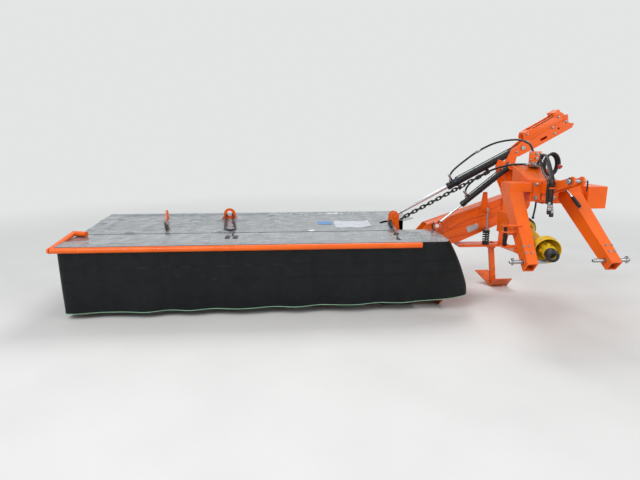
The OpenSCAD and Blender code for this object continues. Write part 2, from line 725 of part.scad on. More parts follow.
// Guarded drive shaft inside the arm, on two saddles between its side plates
drive_r = 38;
drive_low = [bar_pivot_x + 150, 0, bar_pivot_z + 74];
drive_top = [arm_pivot.x - 170, 0, arm_pivot.z - 64];
module drive_guard() {
    color(black) translate([0, arm_y, 0]) along(drive_low, drive_top) {
        rotate([0, 90, 0]) cylinder(h = norm(drive_top - drive_low), r = drive_r);
        for (d = [60, norm(drive_top - drive_low) - 90])
            block([d, wall - arm_w / 2, -drive_r - 6], [d + 30, arm_w / 2 - wall, drive_r + 6]);
    }
}

module bar_pin() {
    color(steel) {
        pin_y_at(bar_pivot, arm_front_y - 6, arm_back_y + 6, pivot_d / 2);
        pin_y_at(bar_pivot, arm_front_y - 14, arm_front_y - 6, pivot_d / 2 + 9);
    }
}

// Coil spring that stands on the stand beam and hangs from the arm's lug
spring_x = bar_pivot_x + 620;
lug_z = bar_pivot_z + 296;
spring_r = 24;
spring_wire = 5;
module relief_spring() {
    z0 = beam_z + beam_t + 0.3;
    turns = 7;
    color(black) {
        for (i = [0:turns - 1])
            translate([spring_x, relief_y, z0 + spring_wire + i * 19])
                rotate_extrude($fn = 24) translate([spring_r, 0]) circle(spring_wire, $fn = 13);
        translate([spring_x, relief_y, z0]) cylinder(h = 160, r = spring_r - spring_wire);
    }
    color(steel) {
        translate([spring_x, relief_y, z0 + 150]) cylinder(h = lug_z + 40 - z0 - 150, r = 8);
        translate([spring_x, relief_y, lug_z + 10]) cylinder(h = 10, r = 14);
        translate([spring_x, relief_y, z0 + 140]) cylinder(h = 8, r = spring_r + 6);
    }
}

// Half the width of an eye, and the gap between a rod's eye and what holds its pin
eye_half = 26;
seat_gap = 0.3;

// Bore for the pin at the eye of a cylinder's barrel
module eye_at(p) {
    difference() {
        children();
        pin_y_at(p, p.y - 2 * eye_half, p.y + 2 * eye_half, cyl_pin_d / 2 + run_gap);
    }
}

module lift_barrel() {
    color(black) eye_at(lift_top) union() {
        pin_y_at(lift_top, lift_y - 30, lift_y + 30, 36);
        along(lift_top, lift_low) {
            difference() {
                union() {
                    translate([30, 0, 0]) rotate([0, 90, 0]) cylinder(h = lift_barrel_l - 30, r = lift_d / 2);
                    translate([lift_barrel_l - 60, 0, -lift_d / 2 - 24]) cylinder(h = 36, r = 12);
                }
                translate([80, 0, 0]) rotate([0, 90, 0]) cylinder(h = lift_barrel_l, r = lift_rod_d / 2 + run_gap);
            }
        }
    }
    color(black) along(lift_low, lift_top) translate([chain_start + (chain_n - 1) * (link_in - link_gap), 0, 0]) {
        for (s = [-1, 1])
            block([2, s * (link_wire + 4) - 3, -chain_drop - 13], [30, s * (link_wire + 4) + 3, 4 - lift_d / 2]);
        translate([link_straight / 2, 12, -chain_drop]) rotate([90, 0, 0]) cylinder(h = 24, r = link_pin_r);
    }
}

module lift_rod() {
    l = norm(lift_top - lift_low);
    half = bracket_gap / 2 - seat_gap;
    color(steel) {
        pin_y_at(lift_low, lift_y - eye_half, lift_y + eye_half, 34);
        pin_y_at(lift_low, lift_y - half, lift_y + half, cyl_pin_d / 2 + 6);
        along(lift_low, lift_top) {
            translate([20, 0, 0]) rotate([0, 90, 0]) cylinder(h = l - lift_barrel_l + 120, r = lift_rod_d / 2);
            block([-5, -12, -chain_drop - 12], [30, 12, -28]);
            for (z = [-chain_drop - 12, -chain_drop + 6])
                block([30, -12, z], [chain_start - 2, 12, z + 6]);
            translate([chain_start - link_straight / 2, 0, -chain_drop - 12]) cylinder(h = 24, r = link_pin_r);
        }
    }
}

// Chain of oval links that limits the fold, hung along the lift cylinder
link_in = 44;
link_w = 26;
link_wire = 5;
link_gap = 0.3;
link_straight = link_in + 2 * link_wire - link_w;
link_pin_r = link_w / 2 - link_wire - link_gap;
chain_n = 22;
chain_start = 70;
chain_drop = 62;
module chain_link() {
    for (s = [-1, 1])
        translate([s * link_straight / 2, 0, 0]) rotate([0, 0, s > 0 ? -90 : 90])
            rotate_extrude(angle = 180, $fn = 24) translate([link_w / 2, 0]) circle(link_wire, $fn = 16);
    for (s = [-1, 1])
        translate([-link_straight / 2, s * link_w / 2, 0]) rotate([0, 90, 0])
            cylinder(h = link_straight, r = link_wire, $fn = 16);
}

module limit_chain() {
    color(black) along(lift_low, lift_top)
        for (i = [0:chain_n - 1])
            translate([chain_start + i * (link_in - link_gap), 0, -chain_drop])
                rotate([i % 2 == 0 ? 0 : 90, 0, 0]) chain_link();
}

module relief_barrel() {
    color(black) eye_at(relief_top) union() {
        pin_y_at(relief_top, relief_y - eye_half, relief_y + eye_half, 32);
        along(relief_top, relief_low) difference() {
            union() {
                translate([24, 0, 0]) rotate([0, 90, 0]) cylinder(h = relief_barrel_l - 24, r = relief_d / 2);
                translate([relief_barrel_l - 90, 0, -relief_d / 2 - 20]) cylinder(h = 30, r = 11);
            }
            translate([60, 0, 0]) rotate([0, 90, 0]) cylinder(h = relief_barrel_l, r = relief_rod_d / 2 + run_gap);
        }
    }
}

module relief_rod() {
    l = norm(relief_top - relief_low);
    color(paint) pin_y_at(relief_low, relief_y - eye_half, relief_y + eye_half, 36);
    color(steel) pin_y_at(relief_low, relief_y - eye_half - 9, relief_y - eye_half, cyl_pin_d / 2 + 6);
    color(black) along(relief_low, relief_top) translate([34, 0, 0]) rotate([0, 90, 0])
        cylinder(h = l - relief_barrel_l + 90, r = relief_rod_d / 2);
}

// Gear bed: a flat housing with chamfered edges under all the discs, with a hub for each disc
shoe_gap = 22;
bed_x0 = disc_x0 - (disc_count - 1) * disc_pitch - knife_r - shoe_gap;
bed_x1 = bar_pivot_x + 60;
bed_y0 = disc_y - bed_w / 2 + 40;
bed_y1 = bed_y0 + bed_w;
module gear_bed() {
    color(paint) {
        cross_plate(bed_x0, bed_x1)
            polygon([[bed_y0, bed_z + 14], [bed_y0 + 24, bed_z], [bed_y1 - 24, bed_z], [bed_y1, bed_z + 14],
                [bed_y1, bed_z + bed_h - 16], [bed_y1 - 24, bed_z + bed_h], [bed_y0 + 40, bed_z + bed_h],
                [bed_y0, bed_z + bed_h - 24]]);
        for (i = [0:disc_count - 1])
            translate([disc_x0 - i * disc_pitch, disc_y, bed_z + bed_h]) cylinder(h = 16, r1 = 80, r2 = 58);
    }
}

// Skids under the bed, one below each disc, their noses turned up in front
skid_w = 270;
module skids() {
    color(steel)
        for (i = [0:disc_count - 1]) {
            x = disc_x0 - i * disc_pitch;
            cross_plate(x - skid_w / 2, x + skid_w / 2)
                polygon([[bed_y1 + 10, 22], [bed_y1 - 30, 0], [bed_y0 - 30, 0], [bed_y0 - 80, 34], [bed_y0 - 84, 60],
                    [bed_y0 - 74, 62], [bed_y0 - 70, 38], [bed_y0 - 26, bed_z - 18], [bed_y0 + 30, bed_z],
                    [bed_y1 - 24, bed_z], [bed_y1 + 6, 30]]);
        }
}

// Inner and outer shoes that close the ends of the bed
shoe_t = 14;
module shoe_outline() {
    polygon([[bed_y1 + 60, 26], [bed_y1 + 30, 0], [bed_y0 - 40, 0], [bed_y0 - 130, 60], [bed_y0 - 140, 150],
        [bed_y0 - 60, 190], [bed_y1 + 60, 150]]);
}
module shoes() {
    color(paint) {
        cross_plate(bed_x1, bed_x1 + shoe_t) shoe_outline();
        cross_plate(bed_x0 - shoe_t, bed_x0) shoe_outline();
    }
}

// Gearbox over the inner end of the bed, with the barrel that the arm carries
barrel_y0 = arm_front_y + wall + side_gap;
barrel_y1 = arm_back_y - wall - side_gap;
gx0 = bar_pivot_x - 48;
module bar_gearbox() {
    gx1 = bar_pivot_x + 50;
    color(paint) difference() {
        union() {
            block([gx0, bed_y0 + 60, bed_z + bed_h], [gx1, bed_y1 - 10, bar_pivot_z - 190]);
            cross_plate(gx0, gx1 - 10)
                polygon([[bed_y0 + 80, bar_pivot_z - 190], [barrel_y0, bar_pivot_z - 82], [barrel_y1, bar_pivot_z - 82],
                    [barrel_y1, bar_pivot_z - 150], [bed_y1 - 20, bar_pivot_z - 200]]);
            side_plate(barrel_y0, barrel_y1) {
                translate([bar_pivot.x, bar_pivot.z]) circle(56);
                polygon([[bar_pivot.x - 48, bar_pivot.z - 130], [bar_pivot.x + 30, bar_pivot.z - 130],
                    [bar_pivot.x + 50, bar_pivot.z], [bar_pivot.x - 54, bar_pivot.z], [bar_pivot.x - 48, bar_pivot.z - 60]]);
            }
        }
        pin_y_at(bar_pivot, barrel_y0 - 1, barrel_y1 + 1, pivot_d / 2 + run_gap);
    }
}

// Beam that carries the cover over the whole cutterbar
bracket_gap = 60;
carrier_y1 = lift_y - bracket_gap / 2 - plate;
carrier_y0 = carrier_y1 - 110;
carrier_z0 = bar_pivot_z - 84;
carrier_z1 = bar_pivot_z + 6;
carrier_x0 = bed_x0 - 3;
carrier_x1 = bar_pivot_x - 130;
module carrier_beam() {
    color(paint) {
        difference() {
            block([carrier_x0, carrier_y0, carrier_z0], [carrier_x1, carrier_y1, carrier_z1]);
            block([carrier_x0 - 1, carrier_y0 + wall, carrier_z0 + wall],
                [carrier_x1 - wall, carrier_y1 - wall, carrier_z1 - wall]);
        }
        cross_plate(bed_x0, bed_x0 + plate)
            polygon([[bed_y1 - 24, bed_z + bed_h], [bed_y1 - 140, bed_z + bed_h], [carrier_y0, carrier_z1],
                [carrier_y0, carrier_z0]]);
        block([carrier_x1 - 110, barrel_y0, carrier_z0 - 26], [gx0, barrel_y1, carrier_z0]);
    }
}

// Bracket on the back of the carrier beam: two plates that the lift cylinder's rod eye hangs between
module bracket_outline() {
    translate([lift_low.x, lift_low.z]) circle(44);
    polygon([[lift_low.x - 44, lift_low.z], [lift_low.x - 70, carrier_z1], [lift_low.x - 70, carrier_z0 + 10],
        [lift_low.x + 60, carrier_z0 + 10], [lift_low.x + 60, carrier_z1], [lift_low.x + 42, lift_low.z - 60],
        [lift_low.x + 44, lift_low.z]]);
}
module cylinder_bracket() {
    half = bracket_gap / 2;
    color(paint) {
        for (y = [lift_y - half - plate, lift_y + half]) side_plate(y, y + plate) bracket_outline();
        block([lift_low.x - 70, lift_y - half, carrier_z0 + 10], [lift_low.x - 60, lift_y + half, carrier_z1 + 80]);
    }
    color(steel) {
        pin_y_at(lift_low, lift_y - half - plate - 8, lift_y - half - plate, cyl_pin_d / 2 + 8);
        pin_y_at(lift_low, lift_y + half + plate, lift_y + half + plate + 8, cyl_pin_d / 2 + 8);
    }
}

// Place children on the rear half of the top sheet: Y runs from the fold line up to the rear, Z is square to it
rear_a = atan2(cover_rise, cover_rear - fold_y);
rear_l = norm([cover_rise, cover_rear - fold_y]);
module on_rear() {
    translate([0, fold_y, cover_z]) rotate([rear_a, 0, 0]) children();
}

// Tubes and ribs under the canvas: the hinge tube, the rear rail and the ribs between them
rail_r = 19;
rail_drop = sheet_t + 0.3 + rail_r;
frame_x1 = bar_pivot_x - 330;
frame_y0 = 40;
frame_y1 = rear_l - 30;
rib_x = [cover_x0 + 120, cover_x0 + 900, cover_x0 + 1680, frame_x1 - 120];
hinge_x = [cover_x0 + 400, cover_x0 + 1200, cover_x0 + 2000];
hinge_w = 40;
hinge_r = 9;
hinge_pin_r = 5;
module cover_frame() {
    color(paint) {
        on_rear() {
            rod([cover_x0 + 16, frame_y0, -rail_drop], [frame_x1, frame_y0, -rail_drop], rail_r);
            rod([cover_x0 + 16, frame_y1, -rail_drop], [cover_x1 - 164.5, frame_y1, -rail_drop], rail_r);
            for (x = rib_x)
                block([x, frame_y0, -rail_drop - 12], [x + 10, frame_y1, -rail_drop + 12]);
        }
        for (x = hinge_x) {
            for (lug = [x - 9, x + hinge_w + 1])
                cross_plate(lug, lug + 8) union() {
                    translate([fold_y, cover_z]) circle(hinge_r);
                    polygon([[fold_y - hinge_r, cover_z], [fold_y - 4, cover_z - 12], [fold_y + 36, cover_z - 30],
                        [fold_y + 46, cover_z - 12], [fold_y + hinge_r, cover_z]]);
                }
            rod([x - 8, fold_y, cover_z], [x + hinge_w + 8, fold_y, cover_z], hinge_pin_r);
        }
    }
}

// Posts on the carrier beam that end under the ribs
post_top = 0.3;
module cover_posts() {
    rise = (carrier_y1 - 20 - fold_y) * tan(rear_a);
    low = cover_z - (rail_drop + 12) / cos(rear_a) - post_top;
    color(paint)
        for (x = rib_x)
            cross_plate(x, x + 10)
                polygon([[carrier_y0 + 20, carrier_z1], [carrier_y1 - 20, carrier_z1], [carrier_y1 - 20, low + rise],
                    [carrier_y0 + 20, low + rise - (carrier_y1 - carrier_y0 - 40) * tan(rear_a)]]);
}

// Two plates that stand up through the top sheet
eye_x = cover_x0 + 1235;
edge_x = cover_x0 + 615;
bracket_y = 530;
module cover_brackets() {
    color(paint) on_rear() {
        difference() {
            side_plate(bracket_y, bracket_y + plate) intersection() {
                union() {
                    translate([eye_x, 44]) circle(58);
                    translate([eye_x - 58, 0]) square([116, 44]);
                }
                translate([eye_x - 60, 1]) square([120, 110]);
            }
            pin_y_at([eye_x, 0, 52], bracket_y - 1, bracket_y + plate + 1, 26);
        }
        block([eye_x - 75, bracket_y - 30, 0.3], [eye_x + 75, bracket_y + 42, 8]);
        cross_plate(edge_x, edge_x + plate)
            polygon([[bracket_y - 60, 0.3], [bracket_y + 60, 0.3], [bracket_y + 30, 84], [bracket_y - 20, 96]]);
    }
}

// Top sheet behind the fold line, open where the arm and the lift cylinder pass
gap_x = bar_pivot_x - 320;
fold_gap = 3;
cylinder_slit_y = lift_y - fold_y;
module canvas_rear_top() {
    color(sheet_grey) on_rear() translate([0, 0, -sheet_t]) linear_extrude(sheet_t) difference() {
        polygon([[cover_x0, fold_gap], [gap_x, fold_gap], [gap_x, cylinder_slit_y - 80],
            [cover_x1 - 60, cylinder_slit_y + 110], [cover_x1 - 160, rear_l], [cover_x0, rear_l]]);
        translate([lift_low.x - 142, cylinder_slit_y - 66]) square([258, 132]);
        for (x = hinge_x) translate([x - 15, 0]) square([hinge_w + 30, 20]);
    }
}

// Rear and end sheets below the rear half of the top sheet
rear_hem = hem_z + 40;
module canvas_rear_skirt() {
    rear_top = cover_z + cover_rise - sheet_t - 1;
    front_top = cover_z - sheet_t - 1;
    color(sheet_grey) {
        block([cover_x0, cover_rear - sheet_t, rear_hem], [cover_x1 - 160, cover_rear, rear_top]);
        cross_plate(cover_x0, cover_x0 + sheet_t)
            polygon([[fold_y + fold_gap, hem_z], [cover_rear - sheet_t, rear_hem], [cover_rear - sheet_t, rear_top],
                [fold_y + fold_gap, front_top]]);
        cross_plate(cover_x1 - 164, cover_x1 - 160)
            polygon([[lift_y + 150, cover_z], [cover_rear - sheet_t, rear_top], [cover_rear - sheet_t, rear_hem],
                [lift_y + 180, hem_z + 60]]);
    }
}

// Tube through a list of points, with a ball a little wider than the tube at each corner
module bent_tube(p, r) {
    for (i = [0:len(p) - 2]) rod(p[i], p[i + 1], r);
    for (i = [1:len(p) - 2]) translate(p[i]) sphere(r + 0.6);
}

// Guard tube in front of the curtain, bent back over the outer end, and the ribs under the front sheet
guard_r = guard_d / 2;
tube_drop = 22;
module guard_tube() {
    x0 = cover_x0 - guard_r - seat_gap;
    x1 = bar_pivot_x - 160;
    y0 = cover_front - guard_r - seat_gap;
    z0 = cover_z - tube_drop;
    z1 = cover_z + guard_r + seat_gap;
    color(paint) {
        bent_tube([[x1, y0, z0], [x0, y0, z0], [x0, fold_y - 90, z1], [x0 + 120, fold_y - 130, z1]], guard_r);
        for (x = hinge_x) difference() {
            union() {
                block([x, cover_front + sheet_t + seat_gap, cover_z - sheet_t - 10],
                    [x + hinge_w, fold_y - 2, cover_z - sheet_t - seat_gap]);
                rod([x, fold_y, cover_z], [x + hinge_w, fold_y, cover_z], hinge_r);
            }
            rod([x - 1, fold_y, cover_z], [x + hinge_w + 1, fold_y, cover_z], hinge_pin_r + run_gap);
        }
    }
}

// Top sheet in front of the fold line
module canvas_front_top() {
    color(sheet_grey) translate([0, 0, cover_z - sheet_t]) linear_extrude(sheet_t) difference() {
        polygon([[cover_x0, cover_front], [cover_x1, cover_front], [cover_x1 - 20, fold_y - fold_gap],
            [cover_x0, fold_y - fold_gap]]);
        for (x = hinge_x) translate([x - 15, fold_y - 15]) square([hinge_w + 30, 20]);
    }
}

// Front curtain and the end sheets that fold up with it
flare = 180;
hem_rise = 95;
end_depth = 220;
module canvas_front_skirt() {
    z1 = cover_z - sheet_t;
    color(sheet_grey) {
        side_plate(cover_front, cover_front + sheet_t)
            polygon([[cover_x0 + 20, hem_z], [cover_x0 + 1900, hem_z + 22], [cover_x1 - 200, hem_z + 40],
                [cover_x1 + flare, hem_z + hem_rise], [cover_x1, z1], [cover_x0, z1]]);
        block([cover_x0, cover_front + sheet_t, hem_z + 10], [cover_x0 + sheet_t, fold_y - fold_gap, z1]);
        side_plate(cover_front + sheet_t, cover_front + sheet_t + end_depth)
            polygon([[cover_x1 - sheet_t, z1], [cover_x1, z1], [cover_x1 + flare, hem_z + hem_rise],
                [cover_x1 + flare - sheet_t, hem_z + hem_rise]]);
    }
}

// Disc: an oval dish with two knives, a quarter turn between neighbours
module disc(i) {
    x = disc_x0 - (i - 1) * disc_pitch;
    color(i == 1 || i == disc_count ? paint : steel) translate([x, disc_y, disc_z]) rotate([0, 0, 90 * (i % 2)]) {
        linear_extrude(8) difference() {
            intersection() {
                circle(disc_r);
                square([2 * disc_r, 230], center = true);
            }
            circle(10);
        }
        translate([0, 0, 8]) cylinder(h = 26, r1 = 88, r2 = 46);
        translate([0, 0, -6]) cylinder(h = 6, r = 50);
        for (s = [-1, 1]) {
            translate([s * (disc_r - 26), 0, -knife_t - 8]) cylinder(h = knife_t + 8, r = 11);
            block([min(s * (disc_r - 45), s * knife_r), -knife_w / 2, -knife_t - 2],
                [max(s * (disc_r - 45), s * knife_r), knife_w / 2, -2]);
        }
        if (i == 1 || i == disc_count)
            translate([0, 0, 34]) cylinder(h = 60, r1 = 80, r2 = 66);
    }
}

headstock();
hitch_pins();
top_link_plates();
mast();
end_box();
valve_block();
hand_lever();
stand_beam();
leg_bracket();
input_gearbox();
pto_guard();
lift_hose();
relief_hose();
hose_loops();
arm_pin();
lift_pin();
stand_leg();
arm_beam();
drive_guard();
bar_pin();
relief_spring();
lift_barrel();
lift_rod();
limit_chain();
relief_barrel();
relief_rod();
gear_bed();
skids();
shoes();
bar_gearbox();
carrier_beam();
cylinder_bracket();
cover_frame();
cover_posts();
cover_brackets();
canvas_rear_top();
canvas_rear_skirt();
guard_tube();
canvas_front_top();
canvas_front_skirt();
disc(1);  // disc_1
disc(2);  // disc_2
disc(3);  // disc_3
disc(4);  // disc_4
disc(5);  // disc_5
disc(6);  // disc_6
disc(7);  // disc_7
pto_shaft();
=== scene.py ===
"""Looks of a rear-mounted disc mower: canvas, hoses, fasteners, finishes and the stage round its CAD frame."""

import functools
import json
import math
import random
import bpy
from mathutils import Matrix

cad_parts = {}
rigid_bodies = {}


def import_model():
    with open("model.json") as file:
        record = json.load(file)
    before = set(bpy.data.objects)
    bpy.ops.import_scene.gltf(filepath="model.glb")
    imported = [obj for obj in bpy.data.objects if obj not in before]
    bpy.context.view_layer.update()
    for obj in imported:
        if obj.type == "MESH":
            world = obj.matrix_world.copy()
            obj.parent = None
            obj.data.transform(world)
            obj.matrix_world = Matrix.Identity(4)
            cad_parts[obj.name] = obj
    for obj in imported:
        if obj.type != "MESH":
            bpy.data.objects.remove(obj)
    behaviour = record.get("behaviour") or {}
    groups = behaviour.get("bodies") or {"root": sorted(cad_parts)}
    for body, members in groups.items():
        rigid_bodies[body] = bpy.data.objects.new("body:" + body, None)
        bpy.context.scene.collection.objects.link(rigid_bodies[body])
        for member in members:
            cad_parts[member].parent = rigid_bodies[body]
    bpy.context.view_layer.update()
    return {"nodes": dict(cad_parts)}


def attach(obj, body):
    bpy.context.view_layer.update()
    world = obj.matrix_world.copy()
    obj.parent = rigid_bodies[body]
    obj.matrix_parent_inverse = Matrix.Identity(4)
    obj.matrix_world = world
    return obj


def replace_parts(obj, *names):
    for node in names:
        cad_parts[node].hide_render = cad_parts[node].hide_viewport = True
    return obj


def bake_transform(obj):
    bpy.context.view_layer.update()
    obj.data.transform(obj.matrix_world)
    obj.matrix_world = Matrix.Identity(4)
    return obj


bl_info = {
    "name": "Disc mower finish",
    "version": (1, 0, 0),
    "blender": (4, 5, 0),
    "location": "3D View > Sidebar > Mower",
    "description": "Builds the canvas, hoses, fasteners, finishes and studio of a disc mower round its CAD frame",
    "category": "Object",
}

import bpy
from mathutils import Matrix, Vector, noise

for left_over in list(bpy.data.objects):
    bpy.data.objects.remove(left_over, do_unlink=True)
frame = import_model()

# Places of the frame, in millimetres
HITCH_X, FOOT_X, PIN_Y, PIN_Z, PIN_HALF = 1535.0, 303.5, -930.0, 580.0, 128.0
HEAD_HALF, HEAD_FRONT, HEAD_BACK, HEAD_TOP_FRONT, HEAD_TOP_BACK = 112.0, -510.0, -180.0, 1108.0, 1200.0
ARM_PIVOT, BAR_PIVOT, ARM_FRONT, ARM_BACK = Vector((1755, 360, 820)), Vector((795, 360, 450)), 286.0, 434.0
LIFT_TOP, LIFT_LOW, LIFT_BARREL, LIFT_R = Vector((1810, 503, 1330)), Vector((590, 503, 680)), 790.0, 33.0
RELIEF_TOP, RELIEF_LOW, RELIEF_BARREL, RELIEF_R = Vector((1595, 232, 1175)), Vector((930, 232, 630)), 560.0, 25.0
MAST_FRONT, MAST_BACK, MAST_A = 446.0, 560.0, math.radians(29)
VALVE_X, VALVE_Y = 1545.0, -204.0
SHAFT_BACK, SHAFT_FRONT = Vector((1505, -280, 712)), Vector((1395, -880, 642))
COVER_X0, COVER_X1, COVER_FRONT, COVER_REAR, COVER_Z, FOLD_Y = -2260.0, 885.0, -330.0, 985.0, 600.0, 190.0
REAR_A = math.atan2(50, COVER_REAR - FOLD_Y)
REAR_L = math.hypot(50, COVER_REAR - FOLD_Y)
HINGE_X, HINGE_GAP = (-1860.0, -1060.0, -260.0), (-15, 55)
DISC_X0, DISC_PITCH, DISC_Y, DISC_Z, DISCS = 495.0, 400.0, -10.0, 106.0, 7
STAND = Vector((1513, 330, 416))
TUBE_Y, TUBE_Z = -352.8, 578.0
CHAIN_DROP = 62.0

# Finishes of scene.py's pieces, under the record's slot that each is of; the first one also goes on the CAD nodes
ORANGE, BLACK, ZINC, CHROME = "gloss_enamel_orange", "satin_black_enamel", "zinc_plated_steel", "hard_chromed_steel"
WORN, BLUED, BARE, HOSE = "ground_spring_steel", "blued_steel", "blank_plate_aluminium", "extruded_hose_rubber"
GRIP, YELLOW, BELL, RED = "moulded_grip_rubber", "blow_moulded_polyethylene", "pvc_bell_black", "red_cap_plastic"
WET_TOP_PAINTED_LIGHT, DARK, PIPING = "coated_canvas_wet", "coated_canvas_dark", "green_piping_pvc"
LABEL, BLUE_LABEL = "blank_label_vinyl", "blank_label_blue"
IN_SLOT = {
    "orange_paint": [ORANGE], "black_paint": [BLACK, BLUED], "zinc_steel": [ZINC, BARE], "chrome_rod": [CHROME],
    "worn_steel": [WORN], "hose_rubber": [HOSE], "grip_rubber": [GRIP, RED], "guard_plastic": [YELLOW, BELL],
    "canvas": [DARK, WET_TOP_PAINTED_LIGHT, PIPING, LABEL, BLUE_LABEL],
}
FINISH = {}


# ---------------------------------------------------------------- modelling helpers

def clear():
    """Leave edit mode and select nothing."""
    if bpy.context.object and bpy.context.object.mode != "OBJECT":
        bpy.ops.object.mode_set(mode="OBJECT")
    bpy.ops.object.select_all(action="DESELECT")


def take(*objects):
    """Select these objects alone; the first is the active one."""
    clear()
    for o in objects:
        o.select_set(True)
    bpy.context.view_layer.objects.active = objects[0]
    return objects[0]


def add_object(name, data):
    """New object of the scene, selected alone."""
    o = bpy.data.objects.new(name, data)
    bpy.context.scene.collection.objects.link(o)
    return take(o)


def edit(operator, **settings):
    """Run one edit-mode operator on the whole of the active object."""
    bpy.ops.object.mode_set(mode="EDIT")
    bpy.ops.mesh.select_all(action="SELECT")
    operator(**settings)
    bpy.ops.object.mode_set(mode="OBJECT")


def modify(o, kind, **settings):
    """Give o a modifier with these settings and apply it."""
    take(o)
    bpy.ops.object.modifier_add(type=kind)
    mod = o.modifiers[-1]
    for key, value in settings.items():
        setattr(mod, key, value)
    bpy.ops.object.modifier_apply(modifier=mod.name)


def facing(v):
    """Turn that points an upright shape along v."""
    return Vector(v).to_track_quat("Z", "Y")


def bar(p, q, r, r2=None, sides=24, ends="NGON"):
    """Turned bar or cone from p to q, in millimetres; ends NOTHING leaves it open."""
    p, q = Vector(p) / 1000, Vector(q) / 1000
    place = dict(vertices=sides, depth=(q - p).length, location=(p + q) / 2, rotation=facing(q - p).to_euler(),
                 end_fill_type=ends)
    clear()
    if r2 is None:
        bpy.ops.mesh.primitive_cylinder_add(radius=r / 1000, **place)
    else:
        bpy.ops.mesh.primitive_cone_add(radius1=r / 1000, radius2=r2 / 1000, **place)
    return bpy.context.object


def turned(p, v, *rows):
    """Bars on one axis from p along v: each row is two distances from p and the rest of what bar() takes."""
    p, v = Vector(p), Vector(v).normalized()
    return [bar(p + v * a, p + v * b, *rest) for a, b, *rest in rows]


def block(lo, hi, turn=None):
    """Box between two corners, in millimetres; turn is a matrix in metres that places it afterwards."""
    lo, hi = Vector(lo) / 1000, Vector(hi) / 1000
    clear()
    bpy.ops.mesh.primitive_cube_add(size=1, location=(lo + hi) / 2, scale=hi - lo)
    bpy.ops.object.transform_apply()
    if turn:
        bpy.context.object.matrix_world = turn
    return bpy.context.object


def ringed(c, axis, major, minor, parts=(28, 10)):
    """Round ring about c, square to axis, in millimetres."""
    clear()
    bpy.ops.mesh.primitive_torus_add(
        location=Vector(c) / 1000, rotation=facing(axis).to_euler(), major_radius=major / 1000,
        minor_radius=minor / 1000, major_segments=parts[0], minor_segments=parts[1])
    return bpy.context.object


def ball(c, r, flat=1.0, axis=(0, 0, 1)):
    """Ball or button about c, in millimetres."""
    clear()
    bpy.ops.mesh.primitive_uv_sphere_add(segments=20, ring_count=12, radius=r / 1000, location=Vector(c) / 1000,
                                         rotation=facing(axis).to_euler(), scale=(1, 1, flat))
    return bpy.context.object


def points(*rows):
    """Rows of three numbers as vectors."""
    return [Vector(row) for row in rows]


def path_at(route, i, t):
    """Point on the smooth curve through the route's points, t of the way past point i."""
    k = lambda j: route[max(0, min(len(route) - 1, j))]
    return 0.5 * (2 * k(i) + t * (k(i + 1) - k(i - 1)) + t * t * (2 * k(i - 1) - 5 * k(i) + 4 * k(i + 1) - k(i + 2))
                  + t ** 3 * (3 * k(i) - k(i - 1) - 3 * k(i + 1) + k(i + 2)))


def smooth_route(route, steps):
    """The route made smooth, with so many steps to each stretch."""
    route = points(*route)
    return [path_at(route, i, k / steps) for i in range(len(route) - 1) for k in range(steps)] + [route[-1]]


def tube(route, r, steps=8, sides=3, cyclic=False):
    """Round tube through the route's points, in millimetres, as a mesh."""
    route = smooth_route(route, steps) if steps > 1 else points(*route)
    curve = bpy.data.curves.new("route", "CURVE")
    curve.dimensions, curve.bevel_depth, curve.bevel_resolution, curve.use_fill_caps = "3D", r / 1000, sides, True
    spline = curve.splines.new("POLY")
    spline.points.add(len(route) - 1)
    for point, p in zip(spline.points, route):
        point.co = (*(p / 1000), 1)
    spline.use_cyclic_u = cyclic
    add_object("route", curve)
    bpy.ops.object.convert(target="MESH")
    return bpy.context.object


def plate(outline, depth, turn):
    """Flat plate: an outline in the X and Y of turn, depth thick, in millimetres."""
    n = len(outline)
    corners = [(x / 1000, y / 1000, z) for z in (0, depth / 1000) for x, y in outline]
    faces = [tuple(range(n - 1, -1, -1)), tuple(range(n, 2 * n))]
    faces += [(i, (i + 1) % n, n + (i + 1) % n, n + i) for i in range(n)]
    mesh = bpy.data.meshes.new("plate")
    mesh.from_pydata(corners, [], faces)
    o = add_object("plate", mesh)
    edit(bpy.ops.mesh.normals_make_consistent, inside=False)
    o.matrix_world = turn
    return o


def frame_at(origin, x, y):
    """Matrix with its origin in millimetres and its first two axes as given."""
    x = Vector(x).normalized()
    z = x.cross(Vector(y)).normalized()
    m = Matrix((x, z.cross(x), z)).transposed().to_4x4()
    m.translation = Vector(origin) / 1000
    return m


def copies(model, places):
    """Copies of a model, each with its own mesh, at the given matrices; the model itself is removed."""
    made = []
    for m in places:
        o = model.copy()
        o.data = model.data.copy()
        bpy.context.scene.collection.objects.link(o)
        o.matrix_world = m
        made.append(o)
    bpy.data.objects.remove(model, do_unlink=True)
    return made


def settle(objects, name, finish, body, bevel=0.0, smooth=35, parts=2):
    """Join objects into one finished piece: place in its mesh, edges broken, finish on, riding on its body.

    For a piece that bends, body is two bodies and the points, in millimetres, where it leaves one and meets the other;
    these are not used, and such a piece is left in place on no body.
    """
    for each in objects:
        each.data.materials.clear()
    o = take(*objects)
    bpy.ops.object.transform_apply()
    if len(objects) > 1:
        bpy.ops.object.join()
    o.name = o.data.name = name
    if "cut" in o.data.attributes:
        o.data.attributes.remove(o.data.attributes["cut"])
    if bevel:
        modify(o, "BEVEL", width=bevel / 1000, segments=parts, limit_method="ANGLE", angle_limit=math.radians(40))
    bpy.ops.object.shade_smooth_by_angle(angle=math.radians(smooth))
    o.data.materials.clear()
    o.data.materials.append(FINISH[finish])
    if isinstance(body, str):
        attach(o, body)
    else:
        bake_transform(o)
    return o


